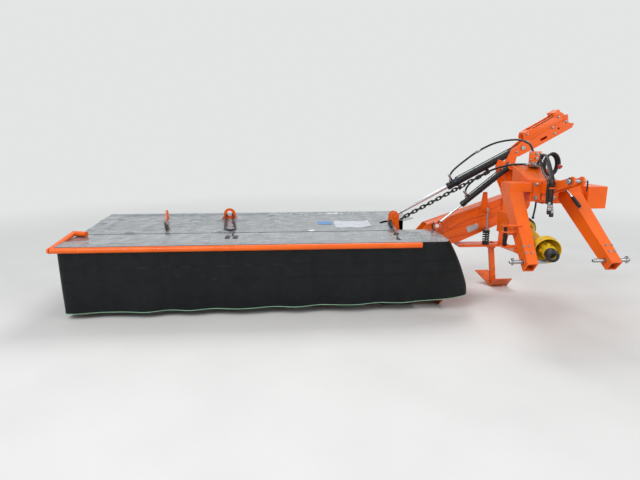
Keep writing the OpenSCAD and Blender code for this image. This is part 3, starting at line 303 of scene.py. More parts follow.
def bolts(name, body, size, places, finish=ZINC):
    """Hexagon bolts with washers: each place is a point in millimetres and the direction of its head."""
    washer, head, thread = turned(
        (0, 0, 0), (0, 0, 1), (0, 0.12 * size, size), (0.12 * size, 0.75 * size, 0.88 * size, None, 6),
        (0.75 * size, 1.1 * size, 0.48 * size, 0.42 * size, 16))
    take(head)
    edit(bpy.ops.mesh.bevel, offset=0.08 * size / 1000, segments=2)
    model = take(washer, head, thread)
    bpy.ops.object.transform_apply()
    bpy.ops.object.join()
    turns = [Matrix.Translation(Vector(p) / 1000) @ facing(n).to_matrix().to_4x4() for p, n in places]
    return settle(copies(model, turns), name, finish, body)


def spots(n, xs, ys, zs):
    """Places of bolts in rows, all facing n."""
    return [((x, y, z), n) for x in xs for y in ys for z in zs]


def seated(node_name, places):
    """The places moved along their directions onto the face of a CAD node."""
    bpy.context.view_layer.update()
    out = []
    for p, n in places:
        n = Vector(n).normalized()
        found, hit, _, _ = bpy.data.objects[node_name].ray_cast(Vector(p) / 1000 + n * 0.06, -n)
        if not found:
            raise RuntimeError("no face of %s under a bolt" % node_name)
        out.append((hit * 1000, n))
    return out


def bead(p, q, r=3.5):
    """Weld bead from p to q: a row of overlapping ripples."""
    p, q = Vector(p), Vector(q)
    count = max(4, int((q - p).length / 7))
    rng = random.Random(int(abs(p.x * 7 + q.z * 3 + p.y)))
    ripple = ball((0, 0, 0), r)
    ripple.data.transform(Matrix.Diagonal((1.0, 1.0, 1.25, 1.0)))
    modify(ripple, "DECIMATE", ratio=0.35)
    turn = facing(q - p).to_matrix().to_4x4()
    return copies(ripple, [Matrix.Translation(p.lerp(q, i / count) / 1000) @ turn
                           @ Matrix.Diagonal([rng.uniform(0.85, 1.1)] * 3).to_4x4() for i in range(count + 1)])


def beads(name, body, rows):
    """All weld beads of one body: each row is its two ends and its radius."""
    settle([ripple for row in rows for ripple in bead(*row)], name, ORANGE, body, smooth=60)


# ---------------------------------------------------------------- finishes

RGBA, TIMES = {"data_type": "RGBA", "out": 2}, {"operation": "MULTIPLY"}


def linear(code, alpha=1.0):
    """sRGB hex colour as linear red, green, blue and alpha."""
    channels = [int(code[i:i + 2], 16) / 255 for i in (1, 3, 5)]
    return [c / 12.92 if c <= 0.04045 else ((c + 0.055) / 1.055) ** 2.4 for c in channels] + [alpha]


def feed(n, *values, **settings):
    """Fill a node's inputs in order, then those that are named, or numbered as i6, and its properties.

    A socket is linked, a hex code becomes a linear colour and None leaves the input alone.
    """
    for key, value in [*enumerate(values), *settings.items()]:
        slot = key if isinstance(key, int) else int(key[1:]) if key[1:].isdigit() else key.replace("_", " ")
        if isinstance(slot, str) and slot not in n.inputs:
            setattr(n, key, value)
        elif isinstance(value, bpy.types.NodeSocket):
            n.id_data.links.new(value, n.inputs[slot])
        elif value is not None:
            n.inputs[slot].default_value = linear(value) if isinstance(value, str) else value


def node(tree, kind, *values, out=0, **settings):
    """Add a shader node, feed it and return one of its outputs."""
    n = tree.nodes.new("ShaderNode" + kind)
    feed(n, *values, **settings)
    return n.outputs[out]


def blank(name, **settings):
    """New material with its shader's plain values set; returns what adds its nodes, the shader and the coordinates."""
    mat = FINISH[name] = bpy.data.materials.new(name)
    mat.use_nodes = True
    shader = mat.node_tree.nodes["Principled BSDF"]
    feed(shader, **settings)
    add = functools.partial(node, mat.node_tree)
    return add, shader, add("TexCoord", out="Object")


def grain(add, at, scale, detail=3.0, rough=0.5, low=0.0, high=1.0, start=0.3, end=0.7):
    """Noise of so many bumps to the metre, stretched to run from low to high."""
    return add("MapRange", add("TexNoise", at, Scale=scale, Detail=detail, Roughness=rough), start, end, low, high)


def worn_edge(add, at, radius):
    """Mask that is 1 on edges where paint has chipped, and the normal of the softly broken edge."""
    soft = add("Bevel", samples=4, Radius=radius)
    turn = add("VectorMath", soft, add("NewGeometry", out="Normal"), operation="DOT_PRODUCT", out="Value")
    chips = grain(add, at, 70, 4, 0.6, 0, 1, 0.56, 0.66)
    return add("Math", add("MapRange", turn, 0.995, 0.9), chips, **TIMES), soft


def soil_and_corner_shade(add, at, reach):
    """Mask of soil thrown up near the ground and of the corners that ambient occlusion finds, where shade falls; a
    darker colour mixed in by it paints shade in those corners.
    """
    # Ambient occlusion marks the corners where shade falls; wherever this mask darkens a finish, that darkening is
    # painted shade
    corner = add("MapRange", add("AmbientOcclusion", samples=4, Distance=0.035, out="AO"), 0.75, 0.25)
    low = add("MapRange", add("SeparateXYZ", at, out=2), reach, 0.0, 0.0, 0.8)
    return add("Math", add("Math", corner, grain(add, at, 16, 4, 0.6, 0.1, 0.9), **TIMES),
               add("Math", low, grain(add, at, 38, 6, 0.7, 0, 1, 0.42, 0.62), **TIMES))


def enamel(name, colour, shade, soil, metal, gloss, coat, reach=0.35):
    """Sprayed enamel over steel: soft orange peel, chipped edges, soil near the ground, rain streaks, and a dark brown
    in the corners that on the orange paints shade there.
    """
    add, shader, at = blank(name, Coat_Weight=coat, Coat_Roughness=0.12, Specular_IOR_Level=0.34)
    chipped, soft = worn_edge(add, at, 0.0025)
    # This mask carries soil near the ground and painted shade in the corners, where the soil colour darkens the orange
    soil_and_shade = soil_and_corner_shade(add, at, reach)
    rain = grain(add, add("Mapping", at, Scale=(60, 60, 3)), 1.0, 3, 0.5, 0, 1, 0.5, 0.75)
    body = colour
    for amount, over in ((grain(add, at, 3.2, 4, 0.6, 0, 0.7), shade), (add("Math", rain, 0.22, **TIMES), shade),
                         (soil_and_shade, soil), (chipped, metal)):
        body = add("Mix", amount, i6=body, i7=over, **RGBA)
    wet = grain(add, at, 22, 4, 0.6, gloss - 0.08, gloss + 0.14)
    peel = add("TexNoise", at, Scale=260, Detail=2)
    feed(shader, Base_Color=body, Roughness=add("Math", wet, add("Math", soil_and_shade, 0.35, **TIMES)),
         Metallic=add("Math", chipped, 0.7, **TIMES),
         Normal=add("Bump", Strength=0.04, Distance=0.0004, Height=peel, Normal=soft))


def bare_metal(name, colour, shade, rough, scratch, stain, amount):
    """Metal with fine marks of its making and some stain or rust."""
    add, shader, at = blank(name, Metallic=1.0)
    fine = grain(add, add("Mapping", at, Scale=scratch), 1.0, 5, 0.65, 0, 1)
    rust = add("Math", grain(add, at, 28, 6, 0.7, 0, 1, 0.5, 0.68), amount, **TIMES)
    body = add("Mix", fine, i6=colour, i7=shade, **RGBA)
    marks = add("MapRange", fine, None, None, rough - 0.06, rough + 0.1)
    feed(shader, Base_Color=add("Mix", rust, i6=body, i7=stain, **RGBA),
         Roughness=add("Math", marks, add("Math", rust, 0.45, **TIMES)),
         Metallic=add("Math", 1.0, rust, operation="SUBTRACT"),
         Normal=add("Bump", Strength=0.15, Distance=0.0004, Height=fine, Normal=add("Bevel", samples=4, Radius=0.0012)))


def rubber(name, colour, shade, rough, pitch):
    """Rubber or plastic from a mould or die: fine grain, dulled by dust near the ground and in the corners, damp in
    places; on the lighter colours the greyish brown in the corners paints shade.
    """
    add, shader, at = blank(name, Specular_IOR_Level=0.45)
    # Greyish brown near the ground and in the corners: dust on the black rubbers, and painted shade in the corners of
    # the yellow, red, green and label colours
    dust = add("Math", soil_and_corner_shade(add, at, 0.1), 0.6, **TIMES)
    body = add("Mix", grain(add, at, 9, 4, 0.6, 0, 1), i6=colour, i7=shade, **RGBA)
    feed(shader, Base_Color=add("Mix", dust, i6=body, i7="#6d675c", **RGBA),
         Roughness=grain(add, at, 40, 3, 0.6, rough - 0.12, rough + 0.1),
         Normal=add("Bump", Strength=0.25, Distance=0.0006, Height=add("TexNoise", at, Scale=pitch, Detail=3),
                    Normal=add("Bevel", samples=4, Radius=0.0015)))


def canvas(name, colour, shade, rough, wet, soil, fold, shine):
    """PVC-coated polyester canvas with creases, dust and a film of rain; its 1 mm weave is drawn at 9 mm, to show."""
    add, shader, at = blank(name, Coat_Weight=wet, Coat_Roughness=0.15, Specular_IOR_Level=shine)
    pool = grain(add, add("Mapping", at, Scale=(3.0, 1.0, 0.45)), 4.5, 5, 0.62, 0, 1, 0.4, 0.6)
    body = add("Mix", grain(add, at, 7, 5, 0.6, 0, 1), i6=colour, i7=shade, **RGBA)
    dust = add("Math", grain(add, at, 19, 6, 0.7, 0, 1, 0.52, 0.72), soil, **TIMES)
    drops = add("MapRange", add("TexVoronoi", at, Scale=140, Randomness=1.0), 0.16, 0.34, 1.0, 0.0)
    weave = [add("TexWave", add("Mapping", at, Rotation=(0, 0, spin)), Scale=36.0, Distortion=0.4,
                 bands_direction=bands, out=1) for spin, bands in ((0.0, "X"), (0.6, "Z"))]
    bump = add("Bump", Strength=fold, Distance=0.008, Height=grain(add, at, 13, 5, 0.65, 0, 1, 0.2, 0.8))
    for strength, depth, height in ((0.12, 0.0008, add("Math", *weave)),
                                    (0.3, 0.0012, add("Math", drops, pool, **TIMES))):
        bump = add("Bump", Strength=strength, Distance=depth, Height=height, Normal=bump)
    feed(shader, Coat_Weight=add("MapRange", pool, None, None, 0.72 * wet, wet),
         Base_Color=add("Mix", dust, i6=body, i7="#8a8375", **RGBA),
         Roughness=add("MapRange", pool, None, None, rough + 0.07, rough - 0.07), Normal=bump)


class MowerColours(bpy.types.PropertyGroup):
    """Colours that a user would change."""

    paint: bpy.props.FloatVectorProperty(
        name="Paint", description="Enamel of the steelwork", subtype="COLOR", size=4,
        default=linear("#f4690e"), min=0, max=1)
    guard: bpy.props.FloatVectorProperty(
        name="Shaft guard", description="Plastic of the drive shaft's guard", subtype="COLOR", size=4,
        default=linear("#e6c322"), min=0, max=1)


class MowerSizes(bpy.types.PropertyGroup):
    """Sizes that a user would change."""

    hose: bpy.props.FloatProperty(
        name="Hose radius", description="Outer radius of the hydraulic hoses", default=0.009, min=0.006, max=0.012,
        unit="LENGTH", subtype="DISTANCE")
    cloth: bpy.props.FloatProperty(
        name="Canvas thickness", description="Thickness of the cover's canvas", default=0.0028, min=0.001, max=0.004,
        unit="LENGTH", subtype="DISTANCE")
    slack: bpy.props.FloatProperty(
        name="Canvas slack", description="How much longer the canvas is than its frame", default=0.012,
        min=0.0, max=0.03, subtype="FACTOR")
    bolt: bpy.props.FloatProperty(
        name="Bolt size", description="Thread of the head's bolts", default=0.016, min=0.01, max=0.02,
        unit="LENGTH", subtype="DISTANCE")


class MOWER_OT_finishes(bpy.types.Operator):
    """Make the finishes and put them on the CAD nodes"""

    bl_idname = "mower.finishes"
    bl_label = "Finishes"

    def execute(self, context):
        colours = context.scene.mower_colours
        # Enamel sprayed on steel: even and bright, glossy where rain stands, grey where edges are chipped, dark brown
        # near the ground as soil and in the corners as painted shade
        enamel(ORANGE, tuple(colours.paint), "#e05708", "#54402c", "#8d8a85", 0.34, 0.15)
        # Black enamel: a soft sheen that shows dust sooner than the orange
        enamel(BLACK, "#0e0f11", "#17181b", "#4b453b", "#8d8a85", 0.36, 0.05)
        # Zinc plate passivated clear: grey with a faint warm bloom
        bare_metal(ZINC, "#b4b6b8", "#8e8f90", 0.34, (90, 90, 90), "#7a5a3a", 0.25)
        # Hard chrome ground round: near mirror
        bare_metal(CHROME, "#dfe3e6", "#cfd4d8", 0.12, (300, 40, 300), "#8a8378", 0.05)
        # Hardened steel polished by crop: bright in streaks, brown in between
        bare_metal(WORN, "#8f8d89", "#6b6762", 0.38, (60, 8, 60), "#6a452b", 0.7)
        # Blued steel fittings: dark with a blue cast
        bare_metal(BLUED, "#39434f", "#262c35", 0.32, (120, 120, 120), "#5a4a3a", 0.12)
        # Brushed aluminium, bare: fine lines that spread the light
        bare_metal(BARE, "#c9cbcc", "#b2b5b7", 0.4, (20, 20, 400), "#8d867a", 0.1)
        # Nitrile hose cover, extruded, and grips moulded in EPDM: matt black, greyer on the grips
        rubber(HOSE, "#0c0c0e", "#151618", 0.42, 700)
        rubber(GRIP, "#121213", "#1b1b1c", 0.5, 900)
        # Soft PVC bell, dip-moulded: black with a dull shine; red polyethylene cap: waxy
        rubber(BELL, "#161719", "#202124", 0.4, 500)
        rubber(RED, "#c3202a", "#a51b22", 0.35, 400)
        # Blow-moulded polyethylene guard: yellow, faintly rippled
        rubber(YELLOW, tuple(colours.guard), "#d3a91a", 0.38, 220)
        # PVC piping and bare vinyl labels: smooth and evenly coloured
        rubber(PIPING, "#8fba9d", "#79a286", 0.45, 500)
        rubber(BLUE_LABEL, "#4b86c6", "#3f78b6", 0.3, 300)
        rubber(LABEL, "#c8ccd2", "#b7bcc6", 0.3, 300)
        # Canvas top: glossy under a film of rain, on a grey base far lighter than the skirts' that paints the sky's
        # light on the upward faces; skirts: nearly black and drier
        canvas(WET_TOP_PAINTED_LIGHT, "#6f767c", "#646b71", 0.28, 1.0, 0.03, 0.5, 0.5)
        canvas(DARK, "#05070a", "#0b0f13", 0.36, 0.26, 0.02, 0.9, 0.14)
        for o in frame["nodes"].values():
            for place in o.material_slots:
                place.material = FINISH[IN_SLOT[place.material.name.split(".")[0]][0]]
        return {"FINISHED"}


# ---------------------------------------------------------------- canvas

RIBS_REAR = (-2135.0, -1355.0, -575.0, 350.0)
# Slot of the rear top for the bracket of the lift cylinder, its narrow end for the rod, and the cut towards the arm
SLIT_X, SLIT_Y, ROD_X, ROD_Y = (530.0, 704.0), (268.0, 360.0), 454.0, (279.0, 348.0)
EDGE_X, EDGE_Y = (556.0, 825.0), (233.0, 423.0)
CLOTH_CELL = 27
FRONT_PLAN = [Vector((COVER_X0, 185)), Vector((COVER_X0 + 1, COVER_FRONT + 1.5)),
              Vector((COVER_X1, COVER_FRONT + 1.5)), Vector((COVER_X1, -106))]
HEM_PLAN = [Vector((COVER_X0, 185)), Vector((COVER_X0 + 12, COVER_FRONT + 1.5)),
            Vector((1063, COVER_FRONT + 1.5)), Vector((1063, -106))]
REAR_PLAN = [Vector((COVER_X0 + 1, FOLD_Y + 5)), Vector((COVER_X0 + 1, COVER_REAR - 2)),
             Vector((723, COVER_REAR - 2)), Vector((723, 655))]
HEM = [(COVER_X0, 57), (-360, 77), (685, 95), (1065, 148)]
REAR_HEM_Z = 93.0
FRONT_ROWS, REAR_ROWS = 19, 17


def grid(name, xs, ys, place, keep=None):
    """Sheet of square cells: its vertices at place(x, y), without the cells whose middle keep() refuses."""
    n = len(xs)
    spot = [(x, y) for y in ys for x in xs]
    faces = [(j * n + i, j * n + i + 1, (j + 1) * n + i + 1, (j + 1) * n + i)
             for j in range(len(ys) - 1) for i in range(n - 1)
             if keep is None or keep((xs[i] + xs[i + 1]) / 2, (ys[j] + ys[j + 1]) / 2)]
    mesh = bpy.data.meshes.new(name)
    mesh.from_pydata([place(x, y) / 1000 for x, y in spot], [], faces)
    uv = mesh.uv_layers.new(name="flat")
    for loop in mesh.loops:
        uv.data[loop.index].uv = Vector(spot[loop.vertex_index]) / 1000
    flat = mesh.attributes.new("cut", "FLOAT_VECTOR", "POINT")
    for v, (x, y) in enumerate(spot):
        flat.data[v].vector = (x, y, 0)
    o = add_object(name, mesh)
    edit(bpy.ops.mesh.delete_loose)
    return o


def steps(a, b, cell, *marks):
    """Even steps of about one cell from a to b, with the marks among them."""
    stops = sorted({a, b, *[m for m in marks if a < m < b]})
    line = []
    for p, q in zip(stops, stops[1:]):
        count = max(1, round((q - p) / cell))
        line += [p + (q - p) * k / count for k in range(count)]
    return line + [b]


def hang(o, held, slack, cap, frames=16, stiff=6.0):
    """Let a sheet settle as cloth, held where held(x, y) says, each point no further than cap from its cut."""
    start = [v.co.copy() for v in o.data.vertices]
    group = o.vertex_groups.new(name="held")
    group.add([i for i, d in enumerate(o.data.attributes["cut"].data) if held(*d.vector[:2])], 1.0, "REPLACE")
    take(o)
    bpy.ops.object.modifier_add(type="CLOTH")
    mod = o.modifiers[-1]
    cloth = mod.settings
    cloth.quality, cloth.mass, cloth.vertex_group_mass = 5, 0.35, "held"
    cloth.tension_stiffness = cloth.compression_stiffness = 30
    cloth.shear_stiffness, cloth.bending_stiffness, cloth.shrink_min = 12, stiff, -slack
    cloth.air_damping = 4
    mod.collision_settings.use_collision = False
    mod.point_cache.frame_start, mod.point_cache.frame_end = 1, frames
    for f in range(1, frames + 1):
        bpy.context.scene.frame_set(f)
    bpy.ops.object.modifier_apply(modifier=mod.name)
    bpy.context.scene.frame_set(1)
    o.vertex_groups.clear()
    for v, rest in zip(o.data.vertices, start):
        move = v.co - rest
        if move.length > cap / 1000:
            v.co = rest + move * (cap / 1000 / move.length)


def sheet(o, finish, body, node_name, thick, extras=()):
    """Smooth a hung sheet, give it its thickness and say what it is."""
    modify(o, "SUBSURF", levels=1, render_levels=1)
    modify(o, "SOLIDIFY", thickness=thick, offset=0.0)
    settle([o], o.name, finish, body, smooth=80)
    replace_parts(o, node_name)


def on_rear(x, y, lift=0.0):
    """Point on the rear half of the top: y runs from the fold line up to the rear."""
    return Vector((x, FOLD_Y + y * math.cos(REAR_A) - lift * math.sin(REAR_A),
                   COVER_Z + y * math.sin(REAR_A) + lift * math.cos(REAR_A)))


def crumple(x, y, edge):
    """Height of the creases that the top is left with, from nothing at an edge to a few millimetres."""
    ridge = max(0.0, 1 - 5.0 * abs(noise.noise(Vector((x / 210, y / 120, 5.3))))) ** 2
    fine = max(0.0, 1 - 6.0 * abs(noise.noise(Vector((x / 90 + y / 160, y / 75, 1.7))))) ** 2
    swell = 0.5 + noise.noise(Vector((x / 420, y / 260, 9.1)))
    return min(1.0, max(0.0, edge) / 60) * (7.0 * ridge + 3.0 * fine + 4.0 * swell)


def near(value, marks, reach):
    """True within reach of one of the marks."""
    return any(abs(value - m) <= reach for m in marks)


def at_hinge(x):
    """True where a hinge of the front guard passes through the tops."""
    return any(h + HINGE_GAP[0] < x < h + HINGE_GAP[1] for h in HINGE_X)


def right_edge(y):
    """Where the rear top ends towards the arm."""
    if y < EDGE_Y[0]:
        return EDGE_X[0]
    if y < EDGE_Y[1]:
        return EDGE_X[0] + (y - EDGE_Y[0]) / (EDGE_Y[1] - EDGE_Y[0]) * (EDGE_X[1] - EDGE_X[0])
    return EDGE_X[1] - (y - EDGE_Y[1]) / (REAR_L - EDGE_Y[1]) * 100


def in_rear_top(x, y):
    """True for the cells of the rear top that are cloth."""
    slit = SLIT_X[0] < x < SLIT_X[1] and SLIT_Y[0] < y < SLIT_Y[1]
    rod = ROD_X < x <= SLIT_X[0] and ROD_Y[0] < y < ROD_Y[1]
    return x < right_edge(y) and not slit and not rod and not (y < 20 and at_hinge(x))


def held_rear(x, y):
    """True where the rear top lies on its frame's rails, ribs and plates."""
    return (y < 66 or y > REAR_L - 62 or near(x, RIBS_REAR, 14) or x < COVER_X0 + 10 or x > 500
            or abs(x + 1025) <= 90 and abs(y - 536) <= 45 or abs(x + 1640) <= 20 and abs(y - 530) <= 60)


def front_top(x, y):
    """Point of the front top; its right corner is rounded off in plan."""
    inset = max(0.0, 60 - (y - COVER_FRONT)) ** 2 / 90
    edge = min(y - COVER_FRONT - 25, FOLD_Y - 40 - y)
    return Vector((min(x, COVER_X1 - inset), y, COVER_Z - 1.6 + crumple(x, y, edge)))


def held_front(x, y):
    """True where the front top lies on the tube, the fold rail, its ends and the hinges."""
    return (y < COVER_FRONT + 12 or y > FOLD_Y - 18 or x < COVER_X0 + 8 or x > COVER_X1 - 8
            or near(x, [h + 20 for h in HINGE_X], 22))


def plan_length(plan):
    """Length of a line of points."""
    return sum((b - a).length for a, b in zip(plan, plan[1:]))


FRONT_L, REAR_SKIRT_L = plan_length(FRONT_PLAN), plan_length(REAR_PLAN)
RNG = random.Random(11)
WAVES = [(RNG.uniform(0.003, 0.012), RNG.uniform(0, 6.3), RNG.uniform(0.5, 1.0)) for _ in range(9)]


def hem_height(x):
    """Height of the front hem at x."""
    for (x0, z0), (x1, z1) in zip(HEM, HEM[1:]):
        if x <= x1:
            return z0 + (z1 - z0) * max(0.0, (x - x0) / (x1 - x0))
    return HEM[-1][1]


def skirt_plan(top, hem, s, t):
    """Plan of a hanging strip: s along its top line, t from 0 at the top to 1 at the hem, its corners rounded."""
    share = [plan_length(top[:i + 1]) for i in range(len(top))]

    def both(u):
        u = max(0.0, min(share[-1], u))
        for i in range(len(top) - 1):
            if u <= share[i + 1] or i == len(top) - 2:
                f = (u - share[i]) / (share[i + 1] - share[i])
                return top[i].lerp(top[i + 1], f).lerp(hem[i].lerp(hem[i + 1], f), 1 - (1 - t) ** 1.7)
    return sum((both(s + k * 46 / 3) for k in range(-3, 4)), Vector((0, 0))) / 7


def fold_depth(s, t, size):
    """How far a skirt's folds stand out, from none at the top to the most at the hem."""
    return size * max(0.0, (t - 0.14) / 0.86) ** 1.25 * sum(a * math.sin(f * s * 2.2 + p) for f, p, a in WAVES) / 2.4


def front_skirt(s, t):
    """Point of the front skirt, which runs from the outer end round the front to the inner end."""
    p = skirt_plan(FRONT_PLAN, HEM_PLAN, s, t)
    z = COVER_Z - 4
    p = Vector((p.x, p.y, z + (hem_height(p.x) - z) * t))
    knob = 15 * math.exp(-((s - 3480) / 34) ** 2 - ((t - 0.06) / 0.05) ** 2)
    out = fold_depth(s, t, 9) + 7 * noise.noise(Vector((s / 420, t * 1.7, 3.1))) * min(1.0, 3 * t) + knob
    ease = min(1.0, min(s, FRONT_L - s) / 60)
    if s < 517:
        return p + Vector((-out * ease * 0.7, 0, 0))
    if s > FRONT_L - 224:
        return p + Vector((out * 0.6 * ease, 0, 0))
    return p + Vector((0, -max(-16.0, out), 0))


def rear_skirt(s, t):
    """Point of the rear skirt, which runs from the outer end round the rear to the inner end."""
    p = skirt_plan(REAR_PLAN, REAR_PLAN, s, t)
    z = COVER_Z - 6 + (p.y - FOLD_Y) * math.tan(REAR_A)
    out = fold_depth(s + 900, t, 14)
    across, back = (-1, 0) if s < 790 else (0, 1) if s < REAR_SKIRT_L - 330 else (1, 0)
    ease = min(1.0, min(s, REAR_SKIRT_L - s) / 60)
    return Vector((p.x + across * out * ease, p.y + back * min(8.0, out), z + (REAR_HEM_Z - z) * t))


def fold_strip(x, y):
    """Point of the strip over the fold line, which rises over the hinges."""
    over = [11.5 * max(0.0, 1 - ((x - h - 20) / 60) ** 2) * max(0.0, 1 - ((y - FOLD_Y) / 26) ** 2) for h in HINGE_X]
    return Vector((x, y, COVER_Z + 1.6 + max(0.0, (y - FOLD_Y) * math.tan(REAR_A)) + max(0.0, *over)))


def hem_and_seams(skirt):
    """Piping along the hem and two double seams across the front skirt, laid on the hung cloth."""
    rows = {}
    for v, c in zip(skirt.data.vertices, skirt.data.attributes["cut"].data):
        rows.setdefault(round(c.vector[1] * FRONT_ROWS), []).append((c.vector[0], v.co * 1000))
    rows = {row: sorted(line, key=lambda r: r[0]) for row, line in rows.items()}
    piping = tube([p + Vector((0, -1.0, -1)) for _, p in rows[FRONT_ROWS]], 3.2, steps=2)
    piping = settle([piping], "hem_piping", PIPING, "front_guard")
    seams = [tube([p + Vector((0, -2.2, dz)) for s, p in rows[row] if 540 < s < FRONT_L - 240], 1.4, steps=2, sides=2)
             for row in (6, 10) for dz in (-5, 5)]
    return [piping, settle(seams, "front_seams", DARK, "front_guard")]


class MOWER_OT_canvas(bpy.types.Operator):
    """Hang the four canvases of the cover, the strip over its fold line, the piping and the seams"""

    bl_idname = "mower.canvas"
    bl_label = "Canvas cover"

    def execute(self, context):
        thick, slack = context.scene.mower_sizes.cloth, context.scene.mower_sizes.slack
        hinge_marks = [h + gap for h in HINGE_X for gap in HINGE_GAP]
        # Top behind the fold line, open round the lift cylinder and the plates' hinges
        xs = steps(COVER_X0, EDGE_X[1], CLOTH_CELL, ROD_X, EDGE_X[0], *SLIT_X, *hinge_marks)
        ys = steps(3.0, REAR_L - 3, CLOTH_CELL, 20.0, *EDGE_Y, *SLIT_Y, *ROD_Y)
        top = grid("canvas_rear_top_cloth", xs, ys, lambda x, y: on_rear(
            min(x, right_edge(y)), y, -1.5 + crumple(x, y, min(y - 40, REAR_L - y))), in_rear_top)
        hang(top, held_rear, slack, 14)
        sheet(top, WET_TOP_PAINTED_LIGHT, "bar", "canvas_rear_top", thick)
        xs = steps(COVER_X0, COVER_X1, CLOTH_CELL, *hinge_marks)
        fore = grid("canvas_front_top_cloth", xs, steps(COVER_FRONT + 2, FOLD_Y - 3, 26, FOLD_Y - 15), front_top,
                    lambda x, y: not (y > FOLD_Y - 15 and at_hinge(x)))
        hang(fore, held_front, slack, 13)
        sheet(fore, WET_TOP_PAINTED_LIGHT, "front_guard", "canvas_front_top", thick)
        skirt = grid("canvas_front_skirt_cloth", steps(0.0, FRONT_L, 30),
                     [k / FRONT_ROWS for k in range(FRONT_ROWS + 1)], front_skirt)
        hang(skirt, lambda s, t: t < 0.12 or s < 8 or s > FRONT_L - 8, slack * 0.8, 22, stiff=10.0)
        sheet(skirt, DARK, "front_guard", "canvas_front_skirt", thick,
              hem_and_seams(skirt))
        back = grid("canvas_rear_skirt_cloth", steps(0.0, REAR_SKIRT_L, 32),
                    [k / REAR_ROWS for k in range(REAR_ROWS + 1)], rear_skirt)
        hang(back, lambda s, t: t < 0.1 or s < 8 or s > REAR_SKIRT_L - 8, slack * 0.8, 18, stiff=10.0)
        sheet(back, DARK, "bar", "canvas_rear_skirt", thick)
        # Strip that covers the fold line
        over = grid("fold_strip", steps(COVER_X0 + 2, 470.0, 20), steps(FOLD_Y - 34, FOLD_Y + 34, 8), fold_strip)
        modify(over, "SOLIDIFY", thickness=0.002, offset=0.0)
        bends = ("bar", "front_guard", Vector((0, FOLD_Y + 9, COVER_Z)), Vector((0, FOLD_Y - 9, COVER_Z)))
        settle([over], "fold_strip", WET_TOP_PAINTED_LIGHT, bends, smooth=80)
        # Bare labels, pressed onto the cloth
        for name, finish, x, y, w, d in (("bare_label_wide", LABEL, 172, 270, 340, 250),
                                         ("bare_label_small", BLUE_LABEL, -88, 335, 130, 110)):
            label = grid(name, steps(x - w / 2, x + w / 2, 10), steps(y - d / 2, y + d / 2, 10),
                         lambda a, b: on_rear(a, b, 40))
            modify(label, "SHRINKWRAP", target=top, wrap_method="PROJECT", use_project_z=True,
                   use_negative_direction=True, use_positive_direction=False, offset=0.0016)
            modify(label, "SOLIDIFY", thickness=0.0008, offset=0.0)
            settle([label], name, finish, "bar", smooth=60)
        return {"FINISHED"}


# ---------------------------------------------------------------- steelwork details

def head_top(y):
    """Height of the head block's sloping top at y."""
    way = (y - HEAD_FRONT - 60) / (HEAD_BACK - HEAD_FRONT - 60)
    return HEAD_TOP_FRONT + 4 + way * (HEAD_TOP_BACK - HEAD_TOP_FRONT - 4)


def on_mast(x, z, y=0.0):
    """Point on the mast: x along it from the lift pin, z square to it."""
    return Vector((LIFT_TOP.x + x * math.cos(MAST_A) - z * math.sin(MAST_A), y,
                   LIFT_TOP.z + x * math.sin(MAST_A) + z * math.cos(MAST_A)))


def on_line(p, q, s, h=0.0):
    """Point s along the line from p to q, which runs to the left, and h above it."""
    u = (q - p).normalized()
    return p + u * s + Vector((u.z, 0, -u.x)) * h


FRONT, BACK, UP, RIGHT = (0, -1, 0), (0, 1, 0), (0, 0, 1), (1, 0, 0)


